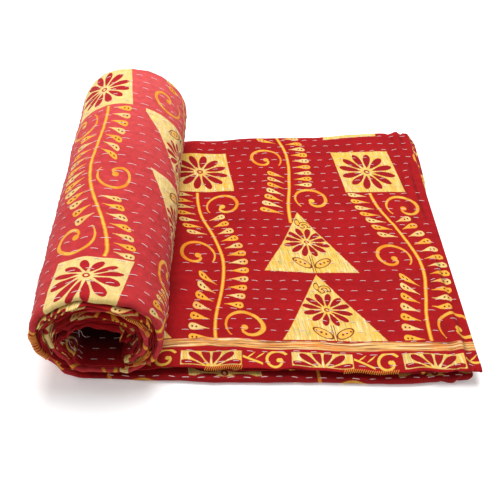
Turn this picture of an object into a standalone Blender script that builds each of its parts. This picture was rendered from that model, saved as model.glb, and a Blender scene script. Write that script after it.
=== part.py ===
"""A thin cotton quilt, folded in a long pack that lies flat and is rolled up at one end.

The quilt is doubled at the right end and folded in four across its width. The section of
that pack is one back-and-forth line of doubled cloth. It is carried along the table and
then round a spiral, which makes the roll. Metres, +Z up, +X from the roll to the flat end,
-Y the side of the open hems.
"""

import math

import bpy

# Whole object.
LENGTH = 0.440          # roll's left side to the flat end
WIDTH = 0.401           # front fold to back fold, at the flat end
WIDTH_AT_ROLL = 0.387
ROLL_HEIGHT_FRONT = 0.1170
ROLL_HEIGHT_BACK = 0.1255
ROLL_WIDTH = 0.1295
FLAT_SPOT = 0.015       # half of the length on which the roll is pressed flat below

# Doubled cloth, two layers face to face.
CLOTH_FLAT = 0.0035     # on the table
CLOTH_ROLLED = 0.0028   # pressed together in the roll

# Pack of four passes of doubled cloth.
PACK_FLAT = 0.0176
PACK_ROLLED = 0.0126
PACK_NIP = 0.0119       # under the roll's own weight
TURN_GAP = 0.0006       # air between one turn and the next
PRESS = 0.055           # share by which the pack thins below and thickens above
PRESSED_FROM = 0.240    # the cloth is pressed thinner from this far along
CLOTH_SHARE = 0.220     # and never takes more than this share of the pack

# Roll.
FIRST_TURN_STEPS = 25
LATER_TURN_STEPS = 24   # of the same angle, so that the turns' facets lie side by side

# Folds across the pack.
BACK_BULGE = 0.0058     # how far the outer back fold rounds out
FRONT_BULGE = 0.0026
INNER_BULGE = 0.0023
INNER_SETBACK = 0.0030  # inner back fold behind the outer one's inside

# Rims that show at the front: rest place behind the front, wave height, waves per metre,
# phase, and how far each turn of the roll draws the rim in.
RIMS = {
    "top_hem": {"back": 0.0085, "wave": 0.0016, "per_metre": 5.2, "phase": 0.4, "draw": 0.0040},
    "second_hem": {"back": 0.0130, "wave": 0.0020, "per_metre": 6.1, "phase": 2.1, "draw": 0.0020},
    "front_fold": {"back": 0.0014, "wave": 0.0014, "per_metre": 4.3, "phase": 3.3, "draw": 0.0050},
}
BACK_WAVE = 0.0016
BACK_WAVES_PER_METRE = 5.7
BACK_DRAW = 0.0025
FRONT_BOW = 0.0050      # the flat part's front stands this far before its two ends
FRONT_BOW_RUN = 0.300

# Flat end: how far the lowest cloth falls short at the front and stands out at the back,
# and how far the whole end leans in towards the back.
END_SHORT_FRONT = 0.0150
END_OUT_BACK = 0.0040
END_FADE = 0.110
END_LEAN = 0.0180
END_LEAN_FADE = 0.270
END_STEP_POWER = 1.4    # most of the difference is in the lowest cloths

# Soft creases of the flat part, as shares of the pack's thickness, with their places.
HEM_WAVE = 0.085        # waves of the front border
HEM_WAVE_PER_METRE = 6.5
HEM_WAVE_DEPTH = 0.055
END_RIDGE = 0.070       # ridge beside the flat end
END_RIDGE_AT = 0.012
END_RIDGE_REACH = 0.008
ROLL_TROUGH = 0.060     # trough where the cloth starts to be drawn under the roll
ROLL_TROUGH_AT = 0.112
ROLL_TROUGH_REACH = 0.020
BILLOW = 0.030          # slow swelling over the whole part
BILLOW_PER_METRE = {"along": 2.7, "across": 2.4}

# Roundings: cloth thickness share at each of the first stations, and at each step in
# from a hem.
END_ROUNDING = ({"run": 0.0, "share": 0.34}, {"run": 0.0008, "share": 0.74},
                {"run": 0.0022, "share": 1.0})
HEM_ROUNDING = ({"run": 0.0, "share": 0.36}, {"run": 0.0010, "share": 0.82},
                {"run": 0.0036, "share": 1.0})
INNER_END_SHARE = 0.5

# Mesh.
PASS_POINTS = 5
BACK_FOLD_STEPS = 6
FRONT_FOLD_STEPS = 4
FLAT_STEPS = 15
FLAT_FIRST_RUN = 0.0075

# Spiral: its radii are those of the outer face before the turns draw in.
TURN_PITCH = PACK_ROLLED + TURN_GAP
SPIRAL_A = (ROLL_WIDTH + TURN_PITCH) / 2.0
ROLL_X = -LENGTH / 2.0 + SPIRAL_A - TURN_PITCH / 4.0
FLAT_RUN = LENGTH / 2.0 - ROLL_X + FLAT_SPOT
FRONT_Y = -WIDTH / 2.0
NIP_RUN = 2.0 * FLAT_SPOT + 0.004   # pressed thin for this far before the roll
NIP_RISE = 0.048                    # and thickens over this length
NIP_FREE = 0.075                    # creases start to show after this one
TURN = 2.0 * math.pi


def ease(value):
    """Smooth step from 0 to 1."""
    t = min(1.0, max(0.0, value))
    return t * t * (3.0 - 2.0 * t)


def mix(a, b, share):
    return a + (b - a) * share


def roll_thickness(angle):
    """Pack thickness in the roll: thinner below, where it carries the rest."""
    settled = ease(angle / (TURN / 6.0))
    return mix(PACK_NIP, PACK_ROLLED * (1.0 - PRESS * math.cos(angle)), settled)


def drawn_in(angle):
    """How far the outer face lies inside the spiral's starting outline."""
    if angle <= TURN:
        return (PACK_NIP + TURN_GAP) * angle / TURN
    return drawn_in(angle - TURN) + roll_thickness(angle - TURN) + TURN_GAP


def roll_half_height(y):
    """Vertical radius of the starting outline; the roll is rounder at the back."""
    share = ease((y - FRONT_Y) / WIDTH)
    height = mix(ROLL_HEIGHT_FRONT, ROLL_HEIGHT_BACK, share)
    return (height + TURN_PITCH / 2.0) / 2.0


def roll_face(angle, slide, y):
    """Point of the pack's outer face in the roll, and its inward direction.

    The upper half is half an ellipse. The lower half is two quarters of a narrower one
    with the flat spot between them; slide is the place on the flat spot.
    """
    out_x = -math.sin(angle)
    out_z = -math.cos(angle)
    a = SPIRAL_A
    centre = ROLL_X
    if out_z < 0.0:
        a = SPIRAL_A - FLAT_SPOT
        centre = ROLL_X + (slide if slide is not None else math.copysign(FLAT_SPOT, out_x))
    b = roll_half_height(y)
    reach = math.hypot(a * out_x, b * out_z)
    inward = drawn_in(angle)
    x = centre + a * a * out_x / reach - out_x * inward
    z = b + b * b * out_z / reach - out_z * inward
    return x, z, -out_x, -out_z


def flat_thickness(run, y):
    """Pack thickness on the table with its soft creases: run is from the right end."""
    to_roll = FLAT_RUN - run
    base = mix(PACK_NIP, PACK_FLAT, ease((to_roll - NIP_RUN) / NIP_RISE))
    depth = y - FRONT_Y
    near_hem = 1.0 - ease(depth / HEM_WAVE_DEPTH)
    wave = HEM_WAVE * near_hem * math.sin(TURN * HEM_WAVE_PER_METRE * run + 0.7)
    wave *= ease(run / HEM_WAVE_DEPTH)
    ridge = END_RIDGE * math.exp(-((run - END_RIDGE_AT) / END_RIDGE_REACH) ** 2)
    trough = -ROLL_TROUGH * math.exp(-((to_roll - ROLL_TROUGH_AT) / ROLL_TROUGH_REACH) ** 2)
    billow = BILLOW * math.sin(TURN * BILLOW_PER_METRE["along"] * run + 1.1)
    billow *= math.sin(TURN * BILLOW_PER_METRE["across"] * depth + 0.5)
    free = ease((to_roll - NIP_FREE) / 0.030)
    return base * (1.0 + (wave + ridge + trough + billow) * free)


def rim_place(name, length, angle):
    """Y of a front rim at a length along the pack."""
    rim = RIMS[name]
    wave = rim["wave"] * math.sin(TURN * rim["per_metre"] * length + rim["phase"])
    bow = FRONT_BOW * (1.0 - math.sin(math.pi * min(1.0, length / FRONT_BOW_RUN)))
    return FRONT_Y + bow + rim["back"] + wave + rim["draw"] * angle / TURN


def back_place(length, angle):
    """Y of the outer back fold's outside."""
    wave = BACK_WAVE * (math.sin(TURN * BACK_WAVES_PER_METRE * length) - 1.0)
    across = mix(WIDTH, WIDTH_AT_ROLL, ease(length / FRONT_BOW_RUN))
    return FRONT_Y + across + wave - BACK_DRAW * angle / TURN


def straight(y_from, y_to, level, ends):
    """Points of one pass, with full half thickness; ends says which end points count."""
    points = []
    for i in range(PASS_POINTS):
        if (i == 0 and not ends[0]) or (i == PASS_POINTS - 1 and not ends[1]):
            continue
        points.append((mix(y_from, y_to, i / (PASS_POINTS - 1)), level, 1.0))
    return points


def rounded(y_at, bulge, level_from, level_to, steps):
    """Half an ellipse between two passes, without its end points; never a pointed one."""
    middle = (level_from + level_to) / 2.0
    half = (level_from - level_to) / 2.0
    reach = math.copysign(min(abs(bulge), abs(half)), bulge)
    points = []
    for i in range(1, steps):
        turn = math.pi * i / steps
        points.append((y_at + reach * math.sin(turn), middle + half * math.cos(turn), 1.0))
    return points


def centre_line(pack, cloth, length, angle):
    """The back-and-forth line of doubled cloth from the top hem to the second hem."""
    step = (pack - cloth) / 3.0
    low = cloth / 2.0
    levels = [low, low + step, low + 2.0 * step, low + 3.0 * step]
    top_hem = rim_place("top_hem", length, angle)
    second_hem = rim_place("second_hem", length, angle)
    fold = rim_place("front_fold", length, angle) + cloth / 2.0 + FRONT_BULGE
    outer = back_place(length, angle) - cloth / 2.0 - BACK_BULGE
    inner = outer + BACK_BULGE - cloth - INNER_SETBACK - INNER_BULGE

    line = [(top_hem + hem["run"], levels[3], hem["share"]) for hem in HEM_ROUNDING]
    line += straight(line[-1][0], outer, levels[3], (False, True))
    line += rounded(outer, BACK_BULGE, levels[3], levels[0], BACK_FOLD_STEPS)
    line += straight(outer, fold, levels[0], (True, True))
    line += rounded(fold, -FRONT_BULGE, levels[0], levels[1], FRONT_FOLD_STEPS)
    line += straight(fold, inner, levels[1], (True, True))
    line += rounded(inner, INNER_BULGE, levels[1], levels[2], FRONT_FOLD_STEPS)
    tail = [(second_hem + hem["run"], levels[2], hem["share"]) for hem in reversed(HEM_ROUNDING)]
    line += straight(inner, tail[0][0], levels[2], (True, False))
    return line + tail


def both_faces(line, cloth, rounding):
    """Outline of the doubled cloth: one face out along the line, the other back."""
    left = []
    right = []
    last = len(line) - 1
    for i, (y, level, share) in enumerate(line):
        before = line[max(i - 1, 0)]
        after = line[min(i + 1, last)]
        along_y = after[0] - before[0]
        along_n = after[1] - before[1]
        size = math.hypot(along_y, along_n)
        half = cloth / 2.0 * share * rounding
        shift_y = -along_n / size * half
        shift_n = along_y / size * half
        left.append((y + shift_y, level + shift_n))
        right.append((y - shift_y, level - shift_n))
    return left + right[::-1]


def end_shift(share_up, y, run):
    """How far a cloth of the flat end stands out past the top one."""
    low = max(0.0, 1.0 - share_up) ** END_STEP_POWER
    at_y = mix(-END_SHORT_FRONT, END_OUT_BACK, ease((y - FRONT_Y) / WIDTH))
    lean = END_LEAN * (y - FRONT_Y) / WIDTH * max(0.0, 1.0 - run / END_LEAN_FADE)
    return low * at_y * (1.0 - ease(run / END_FADE)) - lean


def place(run, angle, slide, rounding=1.0):
    """One station: on the table by run, in the roll by angle and the flat spot's slide."""
    return {"run": run, "angle": angle, "slide": slide, "rounding": rounding}


def stations():
    """Every place where the section is set, from the flat end to the roll's inner end."""
    places = [place(end["run"], 0.0, None, end["share"]) for end in END_ROUNDING]
    for i in range(FLAT_STEPS + 1):
        share = math.sin(TURN / 4.0 * i / FLAT_STEPS)
        places.append(place(mix(FLAT_FIRST_RUN, FLAT_RUN, share), 0.0, None))
    for i in range(1, FIRST_TURN_STEPS):
        places.append(place(FLAT_RUN, TURN * i / FIRST_TURN_STEPS, None))
    for share in (1.0, 0.0, -1.0):
        places.append(place(FLAT_RUN, TURN, FLAT_SPOT * share))
    for i in range(1, LATER_TURN_STEPS + 1):
        places.append(place(FLAT_RUN, TURN * (1.0 + i / FIRST_TURN_STEPS), None))
    places[-1]["rounding"] = INNER_END_SHARE
    return places


def place_length(station):
    """Length along the middle of the pack."""
    radius = (SPIRAL_A + roll_half_height(0.0)) / 2.0 - PACK_ROLLED / 2.0
    angle = station["angle"]
    on_spot = 0.0
    if angle > 0.0:
        on_spot = FLAT_SPOT * min(1.0, angle / math.pi)
    if station["slide"] is not None:
        on_spot = FLAT_SPOT * 2.0 - station["slide"]
    elif angle > TURN:
        on_spot = FLAT_SPOT * 3.0
    spiral = radius * angle - TURN_PITCH * angle * angle / (2.0 * TURN)
    return station["run"] + spiral + on_spot


def ring_points(station):
    """Section outline at one station, in three dimensions."""
    run = station["run"]
    angle = station["angle"]
    length = place_length(station)
    pressed = ease((run - PRESSED_FROM) / (FLAT_RUN - PRESSED_FROM))
    cloth = mix(CLOTH_FLAT, CLOTH_ROLLED, pressed)
    pack = mix(PACK_NIP, PACK_FLAT, ease((FLAT_RUN - run - NIP_RUN) / NIP_RISE))
    if angle > 0.0:
        pack = roll_thickness(angle)
    cloth = min(cloth, pack * CLOTH_SHARE)
    line = centre_line(pack, cloth, length, angle)
    points = []
    for y, level in both_faces(line, cloth, station["rounding"]):
        if angle > 0.0:
            x, z, in_x, in_z = roll_face(angle, station["slide"], y)
            points.append((x + in_x * level, y, z + in_z * level))
            continue
        x = LENGTH / 2.0 - run + end_shift(level / pack, y, run)
        points.append((x, y, level * flat_thickness(run, y) / pack))
    return points


def centred(points):
    """Points moved so that their box stands with its middle over the origin."""
    shift_x = -(min(p[0] for p in points) + max(p[0] for p in points)) / 2.0
    shift_y = -(min(p[1] for p in points) + max(p[1] for p in points)) / 2.0
    low = min(p[2] for p in points)
    return [(p[0] + shift_x, p[1] + shift_y, p[2] - low) for p in points]


def quilt_mesh():
    """Closed mesh of the swept section, with both ends covered cloth by cloth."""
    rings = [ring_points(station) for station in stations()]
    count = len(rings[0])
    points = centred([point for ring in rings for point in ring])
    faces = []
    for j in range(len(rings) - 1):
        for i in range(count):
            k = (i + 1) % count
            low = j * count
            high = low + count
            faces.append((low + i, low + k, high + k, high + i))
    last = (len(rings) - 1) * count
    for i in range(count // 2 - 1):
        k = count - 1 - i
        faces.append((i, k, k - 1, i + 1))
        faces.append((last + i, last + i + 1, last + k - 1, last + k))
    mesh = bpy.data.meshes.new("quilt")
    mesh.from_pydata(points, [], faces)
    mesh.validate()
    return mesh


def cotton_material():
    material = bpy.data.materials.new("red_cotton")
    material.use_nodes = True
    shader = material.node_tree.nodes["Principled BSDF"]
    shader.inputs["Base Color"].default_value = (0.42, 0.012, 0.025, 1.0)
    shader.inputs["Roughness"].default_value = 0.9
    return material


def main():
    for item in list(bpy.data.objects):
        bpy.data.objects.remove(item, do_unlink=True)
    group = bpy.data.collections.new("rolled_quilt")
    bpy.context.scene.collection.children.link(group)
    mesh = quilt_mesh()
    mesh.materials.append(cotton_material())
    quilt = bpy.data.objects.new("quilt", mesh)
    group.objects.link(quilt)


main()
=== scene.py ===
"""Looks of the rolled quilt: its two cloths with their folds, the print, the running
stitches and the hem threads, on a pale floor. Metres; the frame's own axes.

Both cloths of every pass are modelled. They follow the same back-and-forth section, flat
run and spiral as the solid, with finer steps, hems of their own and small puckers.
"""

import math
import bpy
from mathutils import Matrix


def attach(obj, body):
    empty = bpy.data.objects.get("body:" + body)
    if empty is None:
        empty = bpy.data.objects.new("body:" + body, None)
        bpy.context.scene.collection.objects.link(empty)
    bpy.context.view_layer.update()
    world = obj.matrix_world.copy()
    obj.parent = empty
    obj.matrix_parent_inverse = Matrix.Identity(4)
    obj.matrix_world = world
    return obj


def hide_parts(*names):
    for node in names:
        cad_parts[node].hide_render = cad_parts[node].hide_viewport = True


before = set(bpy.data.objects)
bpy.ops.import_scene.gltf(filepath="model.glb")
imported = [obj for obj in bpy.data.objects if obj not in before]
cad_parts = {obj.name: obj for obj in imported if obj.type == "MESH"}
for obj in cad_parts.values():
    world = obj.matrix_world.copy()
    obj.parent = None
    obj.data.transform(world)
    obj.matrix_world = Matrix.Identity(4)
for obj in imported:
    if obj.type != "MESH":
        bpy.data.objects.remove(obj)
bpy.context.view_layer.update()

from types import SimpleNamespace

import bpy
import numpy as np
from mathutils import Vector, noise

# Folded pack and roll: the same named sizes as the solid.
LENGTH = 0.440
WIDTH = 0.401
WIDTH_AT_ROLL = 0.387
ROLL_HEIGHT_FRONT = 0.1170
ROLL_HEIGHT_BACK = 0.1255
ROLL_WIDTH = 0.1295
FLAT_SPOT = 0.015
CLOTH_FLAT = 0.0035
CLOTH_ROLLED = 0.0028
PACK_FLAT = 0.0176
PACK_ROLLED = 0.0126
PACK_NIP = 0.0119
TURN_GAP = 0.0006
PRESS = 0.055
PRESSED_FROM = 0.240
CLOTH_SHARE = 0.220
BACK_BULGE = 0.0058
FRONT_BULGE = 0.0026
INNER_BULGE = 0.0023
INNER_SETBACK = 0.0030
RIMS = {
    "top_hem": {"back": 0.0085, "wave": 0.0016, "per_metre": 5.2, "phase": 0.4, "draw": 0.0040},
    "second_hem": {"back": 0.0130, "wave": 0.0020, "per_metre": 6.1, "phase": 2.1, "draw": 0.0020},
    "front_fold": {"back": 0.0014, "wave": 0.0014, "per_metre": 4.3, "phase": 3.3, "draw": 0.0050},
}
BACK_WAVE = 0.0016
BACK_WAVES_PER_METRE = 5.7
BACK_DRAW = 0.0025
FRONT_BOW = 0.0050
FRONT_BOW_RUN = 0.300
END_SHORT_FRONT = 0.0150
END_OUT_BACK = 0.0040
END_FADE = 0.110
END_LEAN = 0.0180
END_LEAN_FADE = 0.270
END_STEP_POWER = 1.4
HEM_WAVE = 0.085
HEM_WAVE_PER_METRE = 6.5
HEM_WAVE_DEPTH = 0.055
HEM_WAVE_PHASE = 0.7
END_RIDGE = 0.070
END_RIDGE_AT = 0.012
END_RIDGE_REACH = 0.008
ROLL_TROUGH = 0.060
ROLL_TROUGH_AT = 0.112
ROLL_TROUGH_REACH = 0.020
BILLOW = 0.030
BILLOW_PER_METRE = {"along": 2.7, "across": 2.4}
BILLOW_PHASE = {"along": 1.1, "across": 0.5}
TURN_PITCH = PACK_ROLLED + TURN_GAP
SPIRAL_A = (ROLL_WIDTH + TURN_PITCH) / 2.0
ROLL_X = -LENGTH / 2.0 + SPIRAL_A - TURN_PITCH / 4.0
FLAT_RUN = LENGTH / 2.0 - ROLL_X + FLAT_SPOT
FRONT_Y = -WIDTH / 2.0
NIP_RUN = 2.0 * FLAT_SPOT + 0.004
NIP_RISE = 0.048
NIP_FREE = 0.075
NIP_FREE_REACH = 0.030
TURN = 2.0 * math.pi
ROLL_END = TURN * 49.0 / 25.0

# The whole pack is moved by this much, so that its box is centred as the solid's.
SHIFT_X = 0.000612
SHIFT_Y = -0.000466

# Two cloths of the doubled quilt.
GAP_SHARE = 0.08        # air between them, as a share of the doubled thickness
HEM_RUNS = (0.0, 0.0006, 0.0016, 0.0034)
HEM_SHARES = (0.30, 0.72, 0.98, 1.08)
INNER_EVERY = 6         # columns of the hidden faces are this much sparser

# The roll's front end: hems come forward, its rims wander, its mouth is a little uneven.
ROLL_HEM_FORWARD = {"top_hem": 0.0050, "second_hem": 0.0075, "front_fold": 0.0}
ROLL_HEM_FROM = 0.7         # the roll's angle by which its hems are all the way forward
ROLL_DRAW_KEPT = 0.15
ROLL_FOLD_BACK = 0.0065     # the outermost rim lies further back on top
RIM_WAVES = ({"size": 0.0012, "per_turn": 4.0, "phase": 0.6},
             {"size": 0.0010, "per_turn": 9.3, "phase": 2.2},
             {"size": 0.0006, "per_turn": 17.1, "phase": 4.0})
MOUTH_WAVES = ({"size": 0.0011, "per_turn": 3, "phase": 1.0},
               {"size": 0.0007, "per_turn": 7, "phase": 2.6})
MOUTH_REACH = 0.060
TUCK = {"towards": math.radians(205.0), "half_angle": math.radians(62.0), "depth": 0.085,
        "share": 0.085, "floor_reach": 0.016}

# The flat end: lower cloths stand out a little more at the back, and creases run along it.
END_MORE_BACK = 0.0085
END_MORE_FROM = 0.210
END_MORE_REACH = 0.120
END_HEM_FORWARD = {"top_hem": 0.0080, "second_hem": 0.0060, "front_fold": 0.0}
END_HEM_REACH = 0.150
END_CREASES = ({"at": 0.0105, "reach": 0.0022, "size": -0.0028},
               {"at": 0.0165, "reach": 0.0040, "size": 0.0019},
               {"at": 0.0270, "reach": 0.0030, "size": -0.0014})
CORNER_RIPPLE = 0.0024
CORNER_RIPPLE_PITCH = 0.0105
CORNER_RIPPLE_PHASE = 0.8
CORNER_REACH = {"run": 0.042, "depth": 0.030}
CREASE_WANDER_MESH = {"size": 0.0015, "rate": 31.0}
CREASE_DEPTHS = {"least": 0.55, "more": 0.45, "rate": 17.0, "phase": 1.0}

# Small relief: puckers between the stitch rows, short ripples, slow swells.
ROW_PITCH = 0.0139      # rows of running stitches
PUCKER = 0.00022
PUCKER_LEAST = 0.5
PUCKER_UNEVEN = 1.6
RIPPLE = 0.00040
RIPPLE_CELLS = (85.0, 46.0, 3.0)    # a metre along, a metre across, and the noise's layer
SWELL = 0.0015
SWELL_CELLS = (22.0, 22.0, 9.0)

# Small waves of each cloth's hem.
HEM_DRIFTS = ({"size": 0.0007, "per_metre": 17.0, "phase": 0.0, "by_side": 1.3},
              {"size": 0.0006, "per_metre": 31.0, "phase": 2.1, "by_side": 1.0})
HEM_DRIFT_ROLLED = {"size": 0.0010, "per_turn": 9.0}
HEM_SET_BACK = 0.0014       # of the other cloth
HEM_DRIFT_REACH = 0.030
SECOND_HEM_DRIFT = 0.8

SEED = 11


def ease(value):
    t = np.clip(value, 0.0, 1.0)
    return t * t * (3.0 - 2.0 * t)


def mix(a, b, share):
    return a + (b - a) * share


def bell(value, at, reach):
    return np.exp(-((value - at) / reach) ** 2)


def roll_thickness(angle):
    settled = ease(angle / (TURN / 6.0))
    return float(mix(PACK_NIP, PACK_ROLLED * (1.0 - PRESS * math.cos(angle)), settled))


def drawn_in(angle):
    if angle <= TURN:
        return (PACK_NIP + TURN_GAP) * angle / TURN
    return drawn_in(angle - TURN) + roll_thickness(angle - TURN) + TURN_GAP


def roll_half_height(y):
    share = ease((y - FRONT_Y) / WIDTH)
    height = mix(ROLL_HEIGHT_FRONT, ROLL_HEIGHT_BACK, share)
    return (height + TURN_PITCH / 2.0) / 2.0


def mouth_wave(angle, y):
    """Unevenness of the roll's front end, the same for every turn; none where it rests."""
    near = 1.0 - ease((y - FRONT_Y) / MOUTH_REACH)
    lifted = (1.0 - math.cos(angle)) / 2.0
    wave = 0.0
    for part in MOUTH_WAVES:
        wave += part["size"] * (1.0 + math.sin(part["per_turn"] * angle + part["phase"]))
    return near * wave * lifted


def roll_face(angle, slide, y):
    out_x = -math.sin(angle)
    out_z = -math.cos(angle)
    a = SPIRAL_A
    centre = ROLL_X
    if out_z < 0.0:
        a = SPIRAL_A - FLAT_SPOT
        centre = ROLL_X + (slide if slide is not None else math.copysign(FLAT_SPOT, out_x))
    b = roll_half_height(y)
    reach = np.hypot(a * out_x, b * out_z)
    inward = drawn_in(angle) + mouth_wave(angle, y)
    x = centre + a * a * out_x / reach - out_x * inward
    z = b + b * b * out_z / reach - out_z * inward
    return x, z, -out_x, -out_z


def tucked(x, y, z):
    """The roll's front end drawn in at its lower left; every turn moves along with it."""
    off_x = x - ROLL_X
    off_z = z - ROLL_HEIGHT_FRONT / 2.0
    turned = np.arctan2(off_z, off_x)
    away = np.abs((turned - TUCK["towards"] + math.pi) % TURN - math.pi)
    size = (1.0 - ease(away / TUCK["half_angle"])) * (1.0 - ease((y - FRONT_Y) / TUCK["depth"]))
    size = size * ease(z / TUCK["floor_reach"])
    return x - off_x * TUCK["share"] * size, z - off_z * TUCK["share"] * size


def flat_thickness(run, y):
    to_roll = FLAT_RUN - run
    base = mix(PACK_NIP, PACK_FLAT, ease((to_roll - NIP_RUN) / NIP_RISE))
    depth = y - FRONT_Y
    near_hem = 1.0 - ease(depth / HEM_WAVE_DEPTH)
    wave = HEM_WAVE * near_hem * math.sin(TURN * HEM_WAVE_PER_METRE * run + HEM_WAVE_PHASE)
    wave = wave * ease(run / HEM_WAVE_DEPTH)
    ridge = END_RIDGE * bell(run, END_RIDGE_AT, END_RIDGE_REACH)
    trough = -ROLL_TROUGH * bell(to_roll, ROLL_TROUGH_AT, ROLL_TROUGH_REACH)
    billow = BILLOW * math.sin(TURN * BILLOW_PER_METRE["along"] * run + BILLOW_PHASE["along"])
    billow = billow * np.sin(TURN * BILLOW_PER_METRE["across"] * depth + BILLOW_PHASE["across"])
    free = ease((to_roll - NIP_FREE) / NIP_FREE_REACH)
    return base * (1.0 + (wave + ridge + trough + billow) * free)


def rim_place(name, length, angle):
    rim = RIMS[name]
    wave = rim["wave"] * math.sin(TURN * rim["per_metre"] * length + rim["phase"])
    bow = FRONT_BOW * (1.0 - math.sin(math.pi * min(1.0, length / FRONT_BOW_RUN)))
    drawn = ROLL_DRAW_KEPT * rim["draw"] * angle / TURN
    rolled = float(ease(angle / ROLL_HEM_FROM))
    forward = rolled * ROLL_HEM_FORWARD[name]
    forward += END_HEM_FORWARD[name] * (1.0 - float(ease(length / END_HEM_REACH)))
    wander = 0.0
    for part in RIM_WAVES:
        wander += part["size"] * math.sin(part["per_turn"] * angle + part["phase"] + rim["phase"])
    if name == "front_fold":
        forward -= ROLL_FOLD_BACK * (1.0 - math.cos(angle)) / 2.0
    return FRONT_Y + bow + rim["back"] + wave + drawn - forward + rolled * wander


def back_place(length, angle):
    wave = BACK_WAVE * (math.sin(TURN * BACK_WAVES_PER_METRE * length) - 1.0)
    across = float(mix(WIDTH, WIDTH_AT_ROLL, ease(length / FRONT_BOW_RUN)))
    return FRONT_Y + across + wave - BACK_DRAW * angle / TURN


def end_shift(share_up, y, run):
    low = np.maximum(0.0, 1.0 - share_up) ** END_STEP_POWER
    at_y = mix(-END_SHORT_FRONT, END_OUT_BACK, ease((y - FRONT_Y) / WIDTH))
    at_y = at_y + END_MORE_BACK * ease((y - FRONT_Y - END_MORE_FROM) / END_MORE_REACH)
    lean = END_LEAN * (y - FRONT_Y) / WIDTH * np.maximum(0.0, 1.0 - run / END_LEAN_FADE)
    return low * at_y * (1.0 - ease(run / END_FADE)) - lean


def place_length(run, angle, slide):
    """Length along the middle of the pack from the flat end."""
    radius = (SPIRAL_A + float(roll_half_height(0.0))) / 2.0 - PACK_ROLLED / 2.0
    on_spot = 0.0
    if angle > 0.0:
        on_spot = FLAT_SPOT * min(1.0, angle / math.pi)
    if slide is not None:
        on_spot = FLAT_SPOT * 2.0 - slide
    elif angle > TURN:
        on_spot = FLAT_SPOT * 3.0
    return run + radius * angle - TURN_PITCH * angle * angle / (2.0 * TURN) + on_spot


def half_turn(y_at, bulge, level_from, level_to, steps):
    middle = (level_from + level_to) / 2.0
    half = (level_from - level_to) / 2.0
    reach = math.copysign(min(abs(bulge), abs(half)), bulge)
    turn = math.pi * np.arange(1, steps) / steps
    return y_at + reach * np.sin(turn), middle + half * np.cos(turn)


def section_line(pack, cloth, length, angle, steps):
    """Centre line of the doubled cloth, hem to hem, with the wanted steps a stretch."""
    step = (pack - cloth) / 3.0
    levels = [cloth / 2.0 + step * i for i in range(4)]
    top_hem = rim_place("top_hem", length, angle)
    second_hem = rim_place("second_hem", length, angle)
    fold = rim_place("front_fold", length, angle) + cloth / 2.0 + FRONT_BULGE
    outer = back_place(length, angle) - cloth / 2.0 - BACK_BULGE
    inner = outer + BACK_BULGE - cloth - INNER_SETBACK - INNER_BULGE
    runs = np.array(HEM_RUNS)

    def level_pass(y_from, y_to, level, count, first):
        y = np.linspace(y_from, y_to, count + 1)[0 if first else 1:]
        return y, np.full(len(y), level)

    parts = [(top_hem + runs, np.full(len(runs), levels[3]))]
    parts.append(level_pass(top_hem + runs[-1], outer, levels[3], steps["pass_1"], False))
    parts.append(half_turn(outer, BACK_BULGE, levels[3], levels[0], steps["back_fold"]))
    parts.append(level_pass(outer, fold, levels[0], steps["pass_4"], True))
    parts.append(half_turn(fold, -FRONT_BULGE, levels[0], levels[1], steps["front_fold"]))
    parts.append(level_pass(fold, inner, levels[1], steps["pass_3"], True))
    parts.append(half_turn(inner, INNER_BULGE, levels[1], levels[2], steps["inner_fold"]))
    tail = level_pass(inner, second_hem + runs[-1], levels[2], steps["pass_2"], True)
    parts.append((tail[0][:-1], tail[1][:-1]))
    parts.append((second_hem + runs[::-1], np.full(len(runs), levels[2])))
    return np.concatenate([p[0] for p in parts]), np.concatenate([p[1] for p in parts])


def column_places(steps):
    """Stretch of each column, to pick out the passes."""
    names = ["hem_a"] * len(HEM_RUNS) + ["pass_1"] * steps["pass_1"]
    names += ["back_fold"] * (steps["back_fold"] - 1) + ["pass_4"] * (steps["pass_4"] + 1)
    names += ["front_fold"] * (steps["front_fold"] - 1) + ["pass_3"] * (steps["pass_3"] + 1)
    names += ["inner_fold"] * (steps["inner_fold"] - 1) + ["pass_2"] * steps["pass_2"]
    return np.array(names + ["hem_b"] * len(HEM_RUNS))


def side_normals(y, level):
    along_y = np.concatenate([[y[1] - y[0]], y[2:] - y[:-2], [y[-1] - y[-2]]])
    along_n = np.concatenate([[level[1] - level[0]], level[2:] - level[:-2], [level[-1] - level[-2]]])
    size = np.hypot(along_y, along_n)
    return -along_n / size, along_y / size


def hem_drift(side, length, angle):
    """Small waves of one cloth's hem, and the other cloth's set back."""
    drift = HEM_SET_BACK if side < 0 else 0.0
    for wave in HEM_DRIFTS:
        phase = wave["phase"] + wave["by_side"] * side
        drift += wave["size"] * math.sin(TURN * wave["per_metre"] * length + phase)
    if angle > 0.0:
        drift += HEM_DRIFT_ROLLED["size"] * math.sin(HEM_DRIFT_ROLLED["per_turn"] * angle + side)
    return drift


def station(run, angle=0.0, slide=None, side=1, fold=None):
    """fold is the turn round the flat end, from 0 on one cloth to half a turn on the other."""
    return {"run": run, "angle": angle, "slide": slide, "side": side, "fold": fold}


def lift(run, angle, slide, y, level, pack):
    """From the section's own plane to the place on the table or in the roll."""
    if angle > 0.0:
        x, z, in_x, in_z = roll_face(angle, slide, y)
        x, z = tucked(x + in_x * level, y, z + in_z * level)
        return x + SHIFT_X, y + SHIFT_Y, z
    x = LENGTH / 2.0 - run + end_shift(level / pack, y, run)
    return x + SHIFT_X, y + SHIFT_Y, level * flat_thickness(run, y) / pack


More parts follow.
